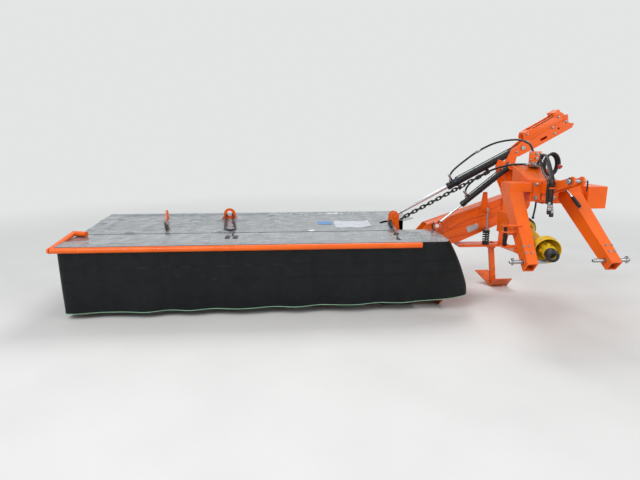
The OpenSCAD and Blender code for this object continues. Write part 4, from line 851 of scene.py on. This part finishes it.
class MOWER_OT_fasteners(bpy.types.Operator):
    """Bolt the head, the feet, the mast, the valve plate, the cover and the cutterbar together"""

    bl_idname = "mower.fasteners"
    bl_label = "Fasteners"

    def execute(self, context):
        size = context.scene.mower_sizes.bolt * 1000
        top, slope = head_top(VALVE_Y), (0, -0.655, 0.755)
        valve = spots(FRONT, (VALVE_X + 12, VALVE_X + 92), [VALVE_Y], (top + 58, top + 108))
        valve += spots(UP, (VALVE_X + 6, VALVE_X + 34, VALVE_X + 72), [VALVE_Y - 60], [top + 37])
        valve += spots(RIGHT, [HITCH_X + 422], (HEAD_FRONT + 212, HEAD_FRONT + 328), (892, 1004))
        leg_xs = [HITCH_X + side * FOOT_X + dx for side in (-1, 1) for dx in (-20, 20)]
        legs = spots(slope, leg_xs, [PIN_Y + 5], [PIN_Z + 58]) + spots(slope, leg_xs, [PIN_Y + 43], [PIN_Z + 100])
        # The mast's plates lie 4 mm behind those of its upper rail, which begins 30 mm above the pin
        mast = [(on_mast(x, z, y - n[1] * (2 if z >= 30 else 6)), n)
                for y, n in ((MAST_FRONT, FRONT), (MAST_BACK, BACK))
                for x, z in ((330, -30), (330, 34), (60, 30), (470, 20), (-70, -8)) if x > 0 or n == FRONT]
        bracket = spots(BACK, (546, 626), [545], (400, 436)) + spots(FRONT, (546, 626), [461], (500, 540))
        bracket += [(on_rear(-1025 + dx, 530 + dy, 8), UP) for dx in (-64, 64) for dy in (-18, 30)]
        beds = [DISC_X0 - i * DISC_PITCH + dx for i in range(DISCS) for dx in (150, 250)]
        head = spots(FRONT, (HITCH_X - 80, HITCH_X + 64), [HEAD_FRONT - 12], (978, 1080))
        for name, body, share, places in (
                ("head_bolts", "root", 0.95, head), ("valve_bolts", "root", 0.5, valve),
                ("leg_bolts", "root", 0.55, seated("headstock", legs)), ("mast_bolts", "root", 0.75, mast),
                ("bed_bolts", "bar", 0.6, spots(UP, beds, (-80, 140), [84])),
                ("bracket_bolts", "bar", 0.6, bracket),
                ("gearbox_bolts", "bar", 0.6, spots(FRONT, (758, 834), [-60], (110, 180, 240))),
                ("input_gearbox_bolts", "root", 0.6, spots(FRONT, (1405, 1545), [-237.8], (641, 789)))):
            bolts(name, body, size * share, places)
        for i in range(DISCS):
            c = Vector((DISC_X0 - i * DISC_PITCH, DISC_Y, DISC_Z))
            turn = math.radians(90 * ((i + 1) % 2))
            round_c = lambda r, a, z: (c + Vector((r * math.cos(a), r * math.sin(a), z)), UP)
            places = [round_c(r, turn, 8) for r in (-139, 139)]
            if i not in (0, DISCS - 1):
                places += [round_c(24, k * math.pi / 2, 34) for k in range(4)]
            bolts("disc_%d_bolts" % (i + 1), "disc_%d" % (i + 1), size * 0.7, places, WORN)
        return {"FINISHED"}


class MOWER_OT_welds(bpy.types.Operator):
    """Lay weld beads along the joints of the headstock, mast, arm and carriers"""

    bl_idname = "mower.welds"
    bl_label = "Weld beads"

    def execute(self, context):
        root = []
        for side in (-1, 1):
            x, foot = HITCH_X + side * HEAD_HALF, HITCH_X + side * FOOT_X
            root += [((x, HEAD_FRONT - 4, z), (x, -356, z), 4) for z in (1023, 1088)]
            for s in (-38.5, 38.5):
                ring = [Vector((foot + s, PIN_Y + 26 * math.cos(a), PIN_Z + 26 * math.sin(a)))
                        for a in [k * math.pi / 6 for k in range(13)]]
                root += [(p, q, 3) for p, q in zip(ring, ring[1:])]
        for x in (HITCH_X - 34, HITCH_X - 22, HITCH_X + 28, HITCH_X + 40):
            root.append(((x, HEAD_FRONT - 13, 1010), (x, HEAD_FRONT - 13, 1082), 3))
        root += [((1635, -180, 1172), (1750, -180, 1172), 4), ((1635, 268, 1021), (1750, 268, 1021), 4),
                 ((1635, 268, 1171), (1720, 268, 1171), 4), ((1160, 224, 437), (1640, 224, 437), 3),
                 ((1648, -290, 898), (1648, -190, 898), 4), ((1648, -290, 998), (1648, -190, 998), 4),
                 (on_mast(454, 43, 445), on_mast(454, 43, 560), 3), (on_mast(454, 76, 445), on_mast(506, 76, 445), 3)]
        beads("root_welds", "root", root)
        beads("arm_welds", "arm", [((868, y, 626), (1605, y, 882), 3) for y in (ARM_FRONT + 1, ARM_BACK - 1)]
              + [((1355, ARM_FRONT - 12, 741), (1434, ARM_FRONT - 12, 762), 3)])
        beads("bar_welds", "bar", [((x, 472, 377), (x, 472, 455), 3.5) for x in (520, 650)]
              + [(on_rear(-1083, 529, 9), on_rear(-967, 529, 9), 3),
                 (on_rear(-1646, 470, 2), on_rear(-1646, 588, 2), 3)])
        return {"FINISHED"}


class MOWER_OT_cylinders(bpy.types.Operator):
    """Fit the glands, ports, collars and grease nipples of the two cylinders"""

    bl_idname = "mower.cylinders"
    bl_label = "Cylinders"

    def execute(self, context):
        for name, top, low, length, r, rod, port_s in (
                ("lift", LIFT_TOP, LIFT_LOW, LIFT_BARREL, LIFT_R, 16, LIFT_BARREL - 48),
                ("relief", RELIEF_TOP, RELIEF_LOW, RELIEF_BARREL, RELIEF_R, 11, RELIEF_BARREL - 76)):
            body, axis = name + "_barrel", low - top
            at = lambda s, h=0.0: on_line(top, low, s, h)
            gland = turned(top, axis, (length - 34, length + 0.5, r + 3.2, None, 40),
                           (length, length + 7, rod + 7, None, 32), (50, 62, r + 2.4, None, 40))
            gland.append(ringed(at(length - 38), axis, r + 0.6, 1.6, (40, 8)))
            settle(gland, name + "_gland", BLACK, body, bevel=1.2)
            settle([ringed(at(length + 7), axis, rod + 2.6, 2.2, (32, 8))], name + "_wiper", BLUED, body)
            port = turned(at(port_s), at(0, 1) - top, (r - 3, r + 15, 12.6, None, 6), (r + 15, r + 24, 9, None, 20))
            settle(port, name + "_port", ZINC, body, bevel=0.8)
            pipe = tube([at(s, r + h) for s, h in ((90, -1), (92, 9), (120, 11), (length * 0.5, 11), (length - 130, 11),
                                                   (length - 104, 9), (length - 102, -1))], 4.5)
            settle([pipe], name + "_pipe", BLACK, body)
            nipple = turned(at(-20), UP, (12, 26, 4, None, 6)) + [ball(at(-20) + Vector((0, 0, 28)), 3.4)]
            settle(nipple, name + "_nipple", ZINC, body)
            straps = [ringed(at(s), axis, r + 1.4, 2.4, (40, 8)) for s in (length * 0.35, length * 0.62)]
            settle(straps, name + "_pipe_straps", BLACK, body)
        x, z = RELIEF_LOW.x, RELIEF_LOW.z
        settle([bar((x, 205.4, z), (x, 258.6, z), 36.6, sides=48)], "relief_boss", ORANGE, "relief_rod", bevel=3)
        hooked = [tube([(x + dx, y, z + dz) for dx, y, dz in bend], 6) for bend in (
            ((-30, 200, 34), (-44, 200, 8), (-40, 200, -22), (-16, 200, -43)),
            ((4, 204, 30), (26, 203, 38), (44, 206, 30)))]
        settle(hooked, "relief_boss_hose", HOSE, "relief_rod")
        x, z = RELIEF_TOP.x, RELIEF_TOP.z
        settle([bar((x, 199, z), (x, 205.5, z), 36, sides=48), ringed((x, 200, z), BACK, 31, 4, (48, 10))],
               "relief_top_boss", ORANGE, "root", bevel=2)
        bolts("relief_pins", "root", 13, [((x, 199, z), FRONT)])
        valve_at = on_line(LIFT_TOP, LIFT_LOW, 690)
        below = valve_at - on_line(LIFT_TOP, LIFT_LOW, 690, 1)
        settle(turned(valve_at, below, (LIFT_R - 3, LIFT_R + 26, 7, None, 20), (LIFT_R + 6, LIFT_R + 14, 11, None, 6)),
               "lift_valve_stem", ZINC, "lift_barrel", bevel=0.6)
        settle(turned(valve_at, below, (LIFT_R + 24, LIFT_R + 52, 15, 11, 28)), "lift_valve_cap", BLUED,
               "lift_barrel", bevel=2)
        settle(turned(valve_at, LIFT_LOW - LIFT_TOP, (-26, 26, LIFT_R + 4.5, None, 40)), "lift_blue_collar", BLUED,
               "lift_barrel", bevel=3)
        return {"FINISHED"}


class MOWER_OT_mast_and_valve(bpy.types.Operator):
    """Put the upper rail and its end block on the mast, and the painted plate on the valve"""

    bl_idname = "mower.mast_and_valve"
    bl_label = "Mast and valve plate"

    def execute(self, context):
        # Along the mast, square to it, and forwards from its front plates
        base = frame_at(on_mast(0, 0, MAST_FRONT), (math.cos(MAST_A), 0, math.sin(MAST_A)),
                        (-math.sin(MAST_A), 0, math.cos(MAST_A)))
        rail = [(34, 30), (44, 96), (64, 120), (110, 128), (452, 132), (476, 104), (476, 40)]
        plates = [plate(rail, 12, base @ Matrix.Translation((0, 0, z))) for z in (-0.014, -0.112)]
        plates += [block(lo, hi, base) for lo, hi in (
            ((384, 98, -114), (452, 158, 0)), ((150, 118, -26), (384, 130, -2)), ((150, 118, -112), (384, 130, -88)),
            ((66, 92, -114), (112, 126, 0)))]
        settle(plates, "mast_rail", ORANGE, "root", bevel=2.5)
        bolts("rail_bolts", "root", 12, [(on_mast(x, 96, MAST_FRONT + 2), FRONT) for x in (88, 420)])
        x, y, z = VALVE_X, VALVE_Y, head_top(VALVE_Y + 5)
        settle([block((x - 0.7, y - 0.7, z + 1), (x + 102.7, y + 10.7, z + 124.7)),
                block((x - 14, y - 58, z + 3), (x - 7, y - 6, z + 30))], "valve_plate_paint", ORANGE, "root", bevel=1.5)
        return {"FINISHED"}


class MOWER_OT_chain_and_spring(bpy.types.Operator):
    """Make the limit chain that follows the cylinder and the real coil of the relief spring"""

    bl_idname = "mower.chain_and_spring"
    bl_label = "Chain and spring"

    def execute(self, context):
        axis = (LIFT_TOP - LIFT_LOW).normalized()
        below = Vector((axis.z, 0, -axis.x))
        angles = [math.tau * (k + 0.5) / 20 for k in range(20)]
        link = tube([(math.copysign(15, math.cos(a)) + 14 * math.cos(a), 14 * math.sin(a), 0) for a in angles], 6.4,
                    steps=1, cyclic=True)
        places = []
        for i in range(22):
            m = frame_at(LIFT_LOW + axis * (70 + i * 43.7) + below * CHAIN_DROP, axis, BACK)
            places.append(m @ Matrix.Rotation(math.pi / 2 if i % 2 else 0, 4, "X"))
        bends = ("lift_barrel", "lift_rod", LIFT_LOW + axis * 960, LIFT_LOW + axis * 60)
        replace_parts(settle(copies(link, places), "oval_link_chain", BLACK, bends, smooth=60), "limit_chain")

        foot, turns, wire, r, count = Vector((1415, 232, 436.5)), 8.5, 6.2, 27.0, 170
        coil = []
        for k in range(count + 1):
            f = k / count
            # Closed ends, open middle
            rise = 0.06 * f + 0.94 * (3 * f * f - 2 * f ** 3)
            a = f * turns * math.tau
            coil.append(foot + Vector((r * math.cos(a), r * math.sin(a), wire + rise * 130)))
        bends = ("root", "arm", foot + Vector((0, 0, 4)), foot + Vector((0, 0, 150)))
        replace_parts(settle([tube(coil, wire, steps=1)], "coil_spring", BLACK, bends, smooth=60), "relief_spring")
        rod = turned(foot, UP, (10, 349.5, 8, None, 20), (141, 149, 30, None, 32), (319.9, 329.5, 14, None, 6),
                     (331.5, 339.5, 13, None, 6))
        settle(rod, "spring_rod", ZINC, "arm", bevel=0.8)
        return {"FINISHED"}


def fitting(p, n, r, body, name):
    """Crimped ferrule and hexagon nut on a hose end that leaves p along n."""
    p, n = Vector(p), Vector(n).normalized()
    parts = turned(p, n, (0, 12, 12, None, 6), (12, 16, r + 1, None, 20), (16, 46, r + 2.8))
    parts += [ringed(p + n * s, n, r + 2.6, 1.1, (24, 6)) for s in (22, 30, 38)]
    settle(parts, name, ZINC, body, bevel=0.6)


class MOWER_OT_hoses(bpy.types.Operator):
    """Run the hydraulic hoses with their fittings, couplings, ties and caps"""

    bl_idname = "mower.hoses"
    bl_label = "Hoses"

    def execute(self, context):
        r = context.scene.mower_sizes.hose * 1000
        vz = head_top(VALVE_Y + 10)
        middle = Vector((1350, 400, 1300))
        port = [on_line(LIFT_TOP, LIFT_LOW, LIFT_BARREL - 60, h) for h in (57, 71, 85)]
        whole = smooth_route([*port, (1160, 495, 1120), (1250, 460, 1210), middle, (1460, 270, 1380), (1560, 80, 1410),
                              (1602, -60, 1380), (1605, -140, 1315), (1605, -168, vz + 106), (1605, -182, vz + 106),
                              (1605, VALVE_Y + 10, vz + 106)], 8)
        split = min(range(len(whole)), key=lambda i: (whole[i] - middle).length)
        settle([tube(whole[:split + 1], r, steps=1)], "lift_hose_low", HOSE,
               ("lift_pin", "lift_barrel", whole[split], whole[10]))
        high = settle([tube(whole[split:], r, steps=1)], "lift_hose_high", HOSE,
                      ("root", "lift_pin", whole[-12], whole[split]))
        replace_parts(high, "lift_hose")
        union = turned(whole[split], whole[split + 2] - whole[split - 2], (-30, 30, r + 2.5), (-9, 9, 13.5, None, 6))
        settle(union, "lift_hose_union", ZINC, "lift_pin", bevel=0.8)
        fitting(port[0] + (port[1] - port[0]) * 0.02, port[1] - port[0], r, "lift_barrel", "lift_hose_fitting")
        fitting(whole[-1], BACK, r, "root", "lift_hose_end")

        port = [on_line(RELIEF_TOP, RELIEF_LOW, RELIEF_BARREL - 90, h) for h in (45, 57, 69)]
        line = smooth_route([*port, (1200, 216, 990), (1250, 150, 1070), (1340, 40, 1150), (1420, -100, 1200),
                             (1470, -210, 1214), (1505, -240, vz + 18), (1522, -240, vz + 18),
                             (VALVE_X - 6, -240, vz + 18)], 8)
        hose = settle([tube(line, r, steps=1)], "relief_hose_run", HOSE, ("root", "relief_barrel", line[-14], line[12]))
        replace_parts(hose, "relief_hose")
        fitting(port[0], port[1] - port[0], r, "relief_barrel", "relief_hose_fitting")
        fitting(line[-1], (-1, 0, 0), r, "root", "relief_hose_end")

        # Two hoses to the tractor, over the head and down through the clip, and their couplings
        clip = Vector((1495, -721, 1068))
        loops = []
        for x, over, down in (
                (14, ((1552, -380, 1270), (1530, -470, 1300), (1510, -560, 1270), (1490, -650, 1200)),
                 ((-19, 1, 60), (-19, 0, 20), (-19, 0, -20), (-19, 0, -70), (-18, -5, -140))),
                (54, ((1580, -380, 1240), (1540, -480, 1250), (1510, -570, 1210), (1480, -660, 1160)),
                 ((-41, 1, 50), (-41, 0, 20), (-41, 0, -20), (-41, 0, -60), (-39, -5, -120)))):
            start = [(VALVE_X + x, VALVE_Y - 70 - d, vz + 18) for d in (0, 12, 24)]
            loops.append(points(*start, *over, *[clip + Vector(p) for p in down]))
        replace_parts(settle([tube(p, r, steps=7) for p in loops], "hose_loops_run", HOSE, "root"), "hose_loops")
        for i, p in enumerate(loops):
            fitting(p[0], FRONT, r, "root", "loop_hose_end_%d" % (i + 1))
        for name, finish, bevel, rows in (
                ("quick_couplers", ZINC, 1, [(-22, 4, r + 2.4), (4, 20, 13, None, 6), (20, 46, 14.5, None, 28),
                                             (46, 60, 9.5, None, 20)]),
                ("coupler_caps", GRIP, 2.5, [(38, 66, 16.5, 14.5, 28)])):
            settle([part for p in loops for part in turned(p[-1], p[-1] - p[-2], *rows)], name, finish, "root", bevel)

        # Spare hose: wound above the valve, then down through the clip, with a red cap at its start
        coil = []
        for k in range(64):
            a, turn = k * math.tau / 24, k / 24
            coil.append((1606 + (58 - 5 * turn) * math.cos(a), -452 + 17 * turn, 1226 + (88 - 6 * turn) * math.sin(a)))
        tail = [(1560, -404, 1300), (1530, -404, 1284), (1500, -520, 1180), clip + Vector((-60, 4, 60)),
                clip + Vector((-58, 2, -30)), clip + Vector((-55, -2, -110))]
        settle([tube(coil, r, steps=2), tube(tail, r, steps=6)], "hose_coil", HOSE, "root")
        red = [bar((1650, -462, 1205), (1664, -474, 1212), 17, 15, 28),
               bar((1664, -474, 1212), (1672, -480, 1216), 9, sides=20)]
        settle(red, "coil_cap", RED, "root", bevel=2)
        ties = [ringed((loops[0][4] + loops[1][4]) / 2, (0.1, -1, -0.2), 24, 2.6),
                ringed(clip + Vector((-30, 0, -52)), UP, 22, 2.2)]
        settle(ties, "hose_ties", GRIP, "root")
        return {"FINISHED"}


class MOWER_OT_hitch_fittings(bpy.types.Operator):
    """Fit linch pins, the link pin's handle, the lever's grip and the fork plates' spring pin"""

    bl_idname = "mower.hitch_fittings"
    bl_label = "Hitch fittings"

    def execute(self, context):
        pins = []
        for side in (-1, 1):
            p = Vector((HITCH_X + side * (FOOT_X + PIN_HALF - 12), PIN_Y, PIN_Z))
            pins += turned(p, UP, (-24, 28, 5, None, 16), (17, 29, 8, None, 20))
            pins.append(ringed(p + Vector((0, -2, 4)), (1, 0.15, 0), 23, 2.0, (36, 8)))
        settle(pins, "linch_pins", ZINC, "root", bevel=0.6)
        top = Vector((HITCH_X, -910, 1140))
        hook = ((62, 0, 0), (72, 0, 2), (76, 0, -12), (76, 0, -52), (74, 0, -70))
        handle = [tube([top + Vector(p) for p in hook], 5),
                  bar(top + Vector((-58, 0, -24)), top + Vector((-58, 0, 24)), 4, sides=12),
                  ringed(top + Vector((-58, 0, 4)), (1, 0.1, 0), 21, 1.8)]
        settle(handle, "link_pin_handle", BLACK, "root")
        mid, end = points((1716, -585, 987), (1736, -651, 929))
        v, long = (end - mid).normalized(), (end - mid).length
        grip = turned(mid, v, *[(6 + 9 * i, 12 + 9 * i, 14.6, None, 28) for i in range(8)],
                      (-2, long + 3, 13.4, None, 28))
        settle([*grip, ball(end + v * 2, 14, 0.7, v)], "lever_grip", GRIP, "root", bevel=1.4)
        settle([bar((1698, -521, 1037), mid - v * 3, 8.4)], "lever_shank", CHROME, "root", bevel=0.5)
        rope = tube([(1478, -498, 947), (1477, -500, 925), (1473, -503, 890), (1466, -505, 850), (1462, -506, 822)], 7)
        settle([rope, ball((1462, -506, 820), 11)], "latch_rope", HOSE, "root")
        x, y, z = 1137.5, -740.0, 755.0
        coil = [(x + 15.5 * math.cos(k * 0.5), y + 15.5 * math.sin(k * 0.5), z - 98 + 88 * k / 110) for k in range(111)]
        settle([bar((x, y, 652), (x, y, 822), 12.7)], "fork_pin_sleeve", BLACK, "root", bevel=1)
        settle([tube(coil, 2.4, steps=1, sides=2)], "fork_spring", BLACK, "root", smooth=60)
        lock = turned(STAND + Vector((0, 0, 2)), RIGHT, (-38, 46, 7, None, 20))
        settle(lock + [ringed(STAND + Vector((50, 0, -10)), BACK, 14, 2)], "stand_lock_pin", ZINC, "root", bevel=0.6)
        return {"FINISHED"}


class MOWER_OT_arm_details(bpy.types.Operator):
    """Press the steps into the arm's side plates and add the bare plate, covers and pin retainers"""

    bl_idname = "mower.arm_details"
    bl_label = "Arm details"

    def execute(self, context):
        u = (ARM_PIVOT - BAR_PIVOT).normalized()
        up = (-u.z, 0, u.x)
        outlines = (
            ((300, 52), (375, 58), (388, 80), (500, 80), (508, 96), (640, 96), (645, 76), (700, 46), (850, 52),
             (850, -16), (776, 3), (690, 12), (640, 30), (500, 40), (380, 30), (300, 20)),
            ((200, 0), (300, 6), (500, -6), (770, -26), (850, -36), (850, -60), (740, -92), (480, -96), (250, -52)))
        pressed = [plate(outline, 11, frame_at((BAR_PIVOT.x, y, BAR_PIVOT.z), u, up))
                   for y in (ARM_FRONT + 1, ARM_BACK + 10) for outline in outlines]
        settle(pressed, "arm_pressings", ORANGE, "arm", bevel=3.5, parts=3)
        at = Vector((1297, ARM_FRONT - 10.4, 592))
        bare = plate([(-56, -29), (56, -29), (56, 29), (-56, 29)], 2, frame_at(at, u, up))
        settle([bare], "bare_arm_plate", BARE, "arm", bevel=0.6)
        rivets = [ball(at + u * dx + Vector((-dz * u.z, -2.4, dz)), 3, 0.6, FRONT)
                  for dx in (-50, 50) for dz in (-22 * u.x, 22 * u.x)]
        settle(rivets, "bare_plate_rivets", ZINC, "arm")
        x, z = BAR_PIVOT.x, BAR_PIVOT.z
        settle([bar((x, ARM_FRONT - 20, z), (x, ARM_FRONT - 14, z), 22, sides=32)], "bar_pin_cap", ZINC, "arm",
               bevel=1.5)
        bolts("arm_bolts", "arm", 9, [((x + 50 * math.cos(a), ARM_FRONT, z + 50 * math.sin(a)), FRONT)
                                      for a in (0.6, 2.6, 4.6)])
        x, z = ARM_PIVOT.x, ARM_PIVOT.z
        settle([bar((x, 250, z), (x, 257, z), 22, sides=32), block((x - 58, 263, z - 14), (x - 36, 272, z + 14))],
               "arm_pin_retainer", ZINC, "root", bevel=1.2)
        return {"FINISHED"}


class MOWER_OT_driveline(bpy.types.Operator):
    """Ring the guard cone, and fit its bell, screws, collar and splines"""

    bl_idname = "mower.driveline"
    bl_label = "Driveline"

    def execute(self, context):
        length, axis = (SHAFT_FRONT - SHAFT_BACK).length, (SHAFT_FRONT - SHAFT_BACK).normalized()
        rings = lambda *rows: [ringed(SHAFT_BACK + axis * s, axis, *rest) for s, *rest in rows]
        settle(rings((length - 1.5, 91, 3.0, (64, 10)), (length - 66, 91.5, 2.6, (64, 10)),
                     (length - 36, 92, 1.8, (64, 8)), (length - 150, 38.5, 3.4, (48, 10)),
                     (length - 120, 49, 2.2, (48, 8)), (length - 96, 62, 2.2, (48, 8))), "guard_ribs", YELLOW, "root")
        settle(rings((1.5, 76.5, 3.2, (56, 10)), (30, 80.2, 2.4, (56, 8)), (62, 80.4, 2.4, (56, 8)),
                     (80, 76, 2.4, (56, 8))), "bell_ribs", BELL, "root")
        shell = (56, "NOTHING")
        skin = settle(turned(SHAFT_BACK, axis, (96, 124, 47, 40, *shell), (56, 97, 81, 72, *shell),
                             (2, 57, 79, 81, *shell)), "bell_skin", BELL, "root")
        modify(skin, "SOLIDIFY", thickness=0.0016, offset=1.0)
        side = axis.cross(Vector((0, 0, 1))).normalized()
        tops = side.cross(axis).normalized()
        around = lambda count: [side * math.cos(a) + tops * math.sin(a)
                                for a in [k * math.tau / count for k in range(count)]]
        bolts("guard_screws", "root", 6, [(SHAFT_BACK + axis * (length - 24) + n * 93, n) for n in around(6)])
        sleeve = settle(turned(SHAFT_FRONT, axis, (49.4, 112.6, 40.6, None, *shell), (112.2, 113, 40.6, 17.8, *shell)),
                        "collar_sleeve", BELL, "pto")
        modify(sleeve, "SOLIDIFY", thickness=0.0012, offset=1.0)
        settle(rings(*[(length + s, 40.4, 2.0, (48, 8)) for s in (54, 66, 78, 90, 102)]), "collar_grips", BELL, "pto")
        teeth = [tooth for n in around(18) for tooth in turned(SHAFT_FRONT + n * 17, axis, (56, 110, 1.3, None, 8))]
        settle(teeth, "splines", WORN, "pto")
        return {"FINISHED"}


class MOWER_OT_cover_fittings(bpy.types.Operator):
    """Hang the strap under the round-headed plate and fit the hooks and clips of the cover"""

    bl_idname = "mower.cover_fittings"
    bl_label = "Cover fittings"

    def execute(self, context):
        lay = lambda x, y, h: Vector((x, y, COVER_Z + max(0.0, y - FOLD_Y) * math.tan(REAR_A) + h))
        strap = [lay(*p) for p in (
            (-1052, 700, 52), (-1058, 668, 14), (-1050, 560, 10), (-1034, 380, 9), (-1006, 262, 9), (-970, 226, 9),
            (-930, 262, 9), (-936, 380, 9), (-972, 560, 10), (-990, 668, 14), (-996, 700, 52))]
        settle([tube(strap, 8)], "rubber_strap", GRIP, "bar")
        slots = [block((x - 19, y - 52, COVER_Z + 1), (x + 19, y + 52, COVER_Z + 5))
                 for x, y in ((-960, -40), (-892, -44))]
        slots.append(tube([(-930, 150, 608), (-926, 60, 608), (-925, 10, 608)], 6))
        settle(slots, "strap_slots", GRIP, "front_guard", bevel=1)
        # Hook chain: round links every 24 mm down from the bracket, and the short chain by the outer plate
        line = smooth_route([(550, 452, 650), (536, 430, 636), lay(526, 395, 18), lay(520, 330, 16), lay(518, 262, 15),
                             lay(514, 222, 15)], 12)
        hook, gone = [], 0.0
        for p, q in zip(line, line[1:]):
            gone += (q - p).length
            if gone > 24:
                gone = 0.0
                across = (q - p).cross(Vector((0, 0, 1) if len(hook) % 2 else (1, 0, 0.4)))
                hook.append(ringed(q, across, 15, 5, (20, 8)))
        outer = ((-1596, 455), (-1580, 420), (-1574, 386), (-1560, 352), (-1556, 318), (-1536, 286))
        for i, (x, y) in enumerate(outer):
            hook.append(ringed(lay(x, y, 14), (0.2, 0.1, 1) if i % 2 else (1, 0.1, 0.3), 17, 5, (20, 8)))
        settle(hook, "hook_chain", BLACK, "bar")
        tail = [tube([(512, 168, 607), (504, 60, 606), (497, -24, 606), (484, -130, 606), (470, -200, 606)], 6),
                ringed((497, -30, 608), UP, 20, 5), block((452, -250, COVER_Z + 1), (486, -196, COVER_Z + 6))]
        settle(tail, "hook_cord", GRIP, "front_guard")
        clips = [ringed((x + dx, TUBE_Y, TUBE_Z), RIGHT, 23.6, 1.8, (32, 8))
                 for x in (-2100, -1500, -900, -300, 300) for dx in (0, 22)]
        settle(clips, "tube_clips", ORANGE, "front_guard")
        settle([bar((635.4, TUBE_Y, TUBE_Z), (640, TUBE_Y, TUBE_Z), 21, sides=32)], "tube_end_plug", GRIP,
               "front_guard", bevel=1.5)
        return {"FINISHED"}


# ---------------------------------------------------------------- stage

SKY = {"Color": "#eceeee", "Strength": 0.92}


class MOWER_OT_stage(bpy.types.Operator):
    """Set up the pale floor, the soft lights and the camera at the photograph's view"""

    bl_idname = "mower.stage"
    bl_label = "Stage"

    def execute(self, context):
        scene = context.scene
        clear()
        bpy.ops.mesh.primitive_plane_add(size=60, location=(0, 0, -0.0005))
        floor = context.object
        floor.name = "studio_floor"
        add, shader, at = blank("studio_floor", Roughness=0.85, Specular_IOR_Level=0.2)
        feed(shader, Base_Color=add("Mix", grain(add, at, 1.4, 3, 0.5, 0, 1), i6="#dcdcda", i7="#d6d6d4", **RGBA))
        # Far off, and for the camera alone, the floor takes the colour of the sky behind it
        far = add("MapRange", add("VectorMath", at, operation="LENGTH", out="Value"), 2.6, 8.5,
                  interpolation_type="SMOOTHSTEP")
        seen = add("Math", far, add("LightPath", out="Is Camera Ray"), **TIMES)
        both = add("MixShader", seen, shader.outputs[0], add("Emission", **SKY))
        feed(shader.id_data.nodes["Material Output"], Surface=both)
        floor.data.materials.append(FINISH["studio_floor"])

        # The world lights softly, and the camera, gloss and glass see it pale
        world = scene.world = bpy.data.worlds.new("soft_studio")
        world.use_nodes = True
        add = functools.partial(node, world.node_tree)
        ambient = world.node_tree.nodes["Background"]
        feed(ambient, Color="#f1f4f8", Strength=0.5)
        shown = add("LightPath", out="Is Camera Ray")
        for ray in ("Is Glossy Ray", "Is Transmission Ray"):
            shown = add("Math", shown, add("LightPath", out=ray), operation="MAXIMUM")
        mix = add("MixShader", shown, ambient.outputs[0], add("Background", **SKY))
        feed(world.node_tree.nodes["World Output"], Surface=mix)

        for name, at, size, power in (("key_light", (-3.5, -5.0, 5.5), 4.0, 330.0),
                                      ("fill_light", (5.0, -4.0, 3.5), 4.0, 120.0),
                                      ("rim_light", (1.0, 4.2, 7.0), 3.5, 260.0)):
            light = bpy.data.lights.new(name, "AREA")
            light.size, light.energy = size, power
            lamp = add_object(name, light)
            lamp.location = at
            lamp.rotation_euler = (Vector((0, 0, 0.5)) - Vector(at)).to_track_quat("-Z", "Y").to_euler()

        camera = bpy.data.cameras.new("photo_view")
        camera.lens, camera.sensor_width, camera.clip_end = 27.0, 36.0, 200.0
        view = add_object("photo_view", camera)
        view.location = (-0.455, -4.08, 1.45)
        view.rotation_euler = (math.radians(90 - 12.34), 0, math.radians(-4.0))
        scene.camera = view
        scene.view_settings.view_transform = "Standard"
        return {"FINISHED"}


STEPS = (MOWER_OT_finishes, MOWER_OT_stage, MOWER_OT_canvas, MOWER_OT_fasteners, MOWER_OT_welds, MOWER_OT_cylinders,
         MOWER_OT_mast_and_valve, MOWER_OT_chain_and_spring, MOWER_OT_hoses, MOWER_OT_hitch_fittings,
         MOWER_OT_arm_details, MOWER_OT_driveline, MOWER_OT_cover_fittings)


class MOWER_PT_panel(bpy.types.Panel):
    """Steps and settings of the mower's finish"""

    bl_idname = "MOWER_PT_panel"
    bl_label = "Disc mower"
    bl_space_type = "VIEW_3D"
    bl_region_type = "UI"
    bl_category = "Mower"

    def draw(self, context):
        for group in (context.scene.mower_colours, context.scene.mower_sizes):
            for prop in group.bl_rna.properties:
                if prop.identifier not in ("rna_type", "name"):
                    self.layout.prop(group, prop.identifier)
        for step in STEPS:
            self.layout.operator(step.bl_idname)


CLASSES = (MowerColours, MowerSizes, *STEPS, MOWER_PT_panel)


def register():
    for cls in CLASSES:
        bpy.utils.register_class(cls)
    bpy.types.Scene.mower_colours = bpy.props.PointerProperty(type=MowerColours)
    bpy.types.Scene.mower_sizes = bpy.props.PointerProperty(type=MowerSizes)


def unregister():
    del bpy.types.Scene.mower_colours, bpy.types.Scene.mower_sizes
    for cls in reversed(CLASSES):
        bpy.utils.unregister_class(cls)


def main():
    register()
    for step in STEPS:
        group, name = step.bl_idname.split(".")
        getattr(getattr(bpy.ops, group), name)()
    clear()


if __name__ == "__main__":
    main()
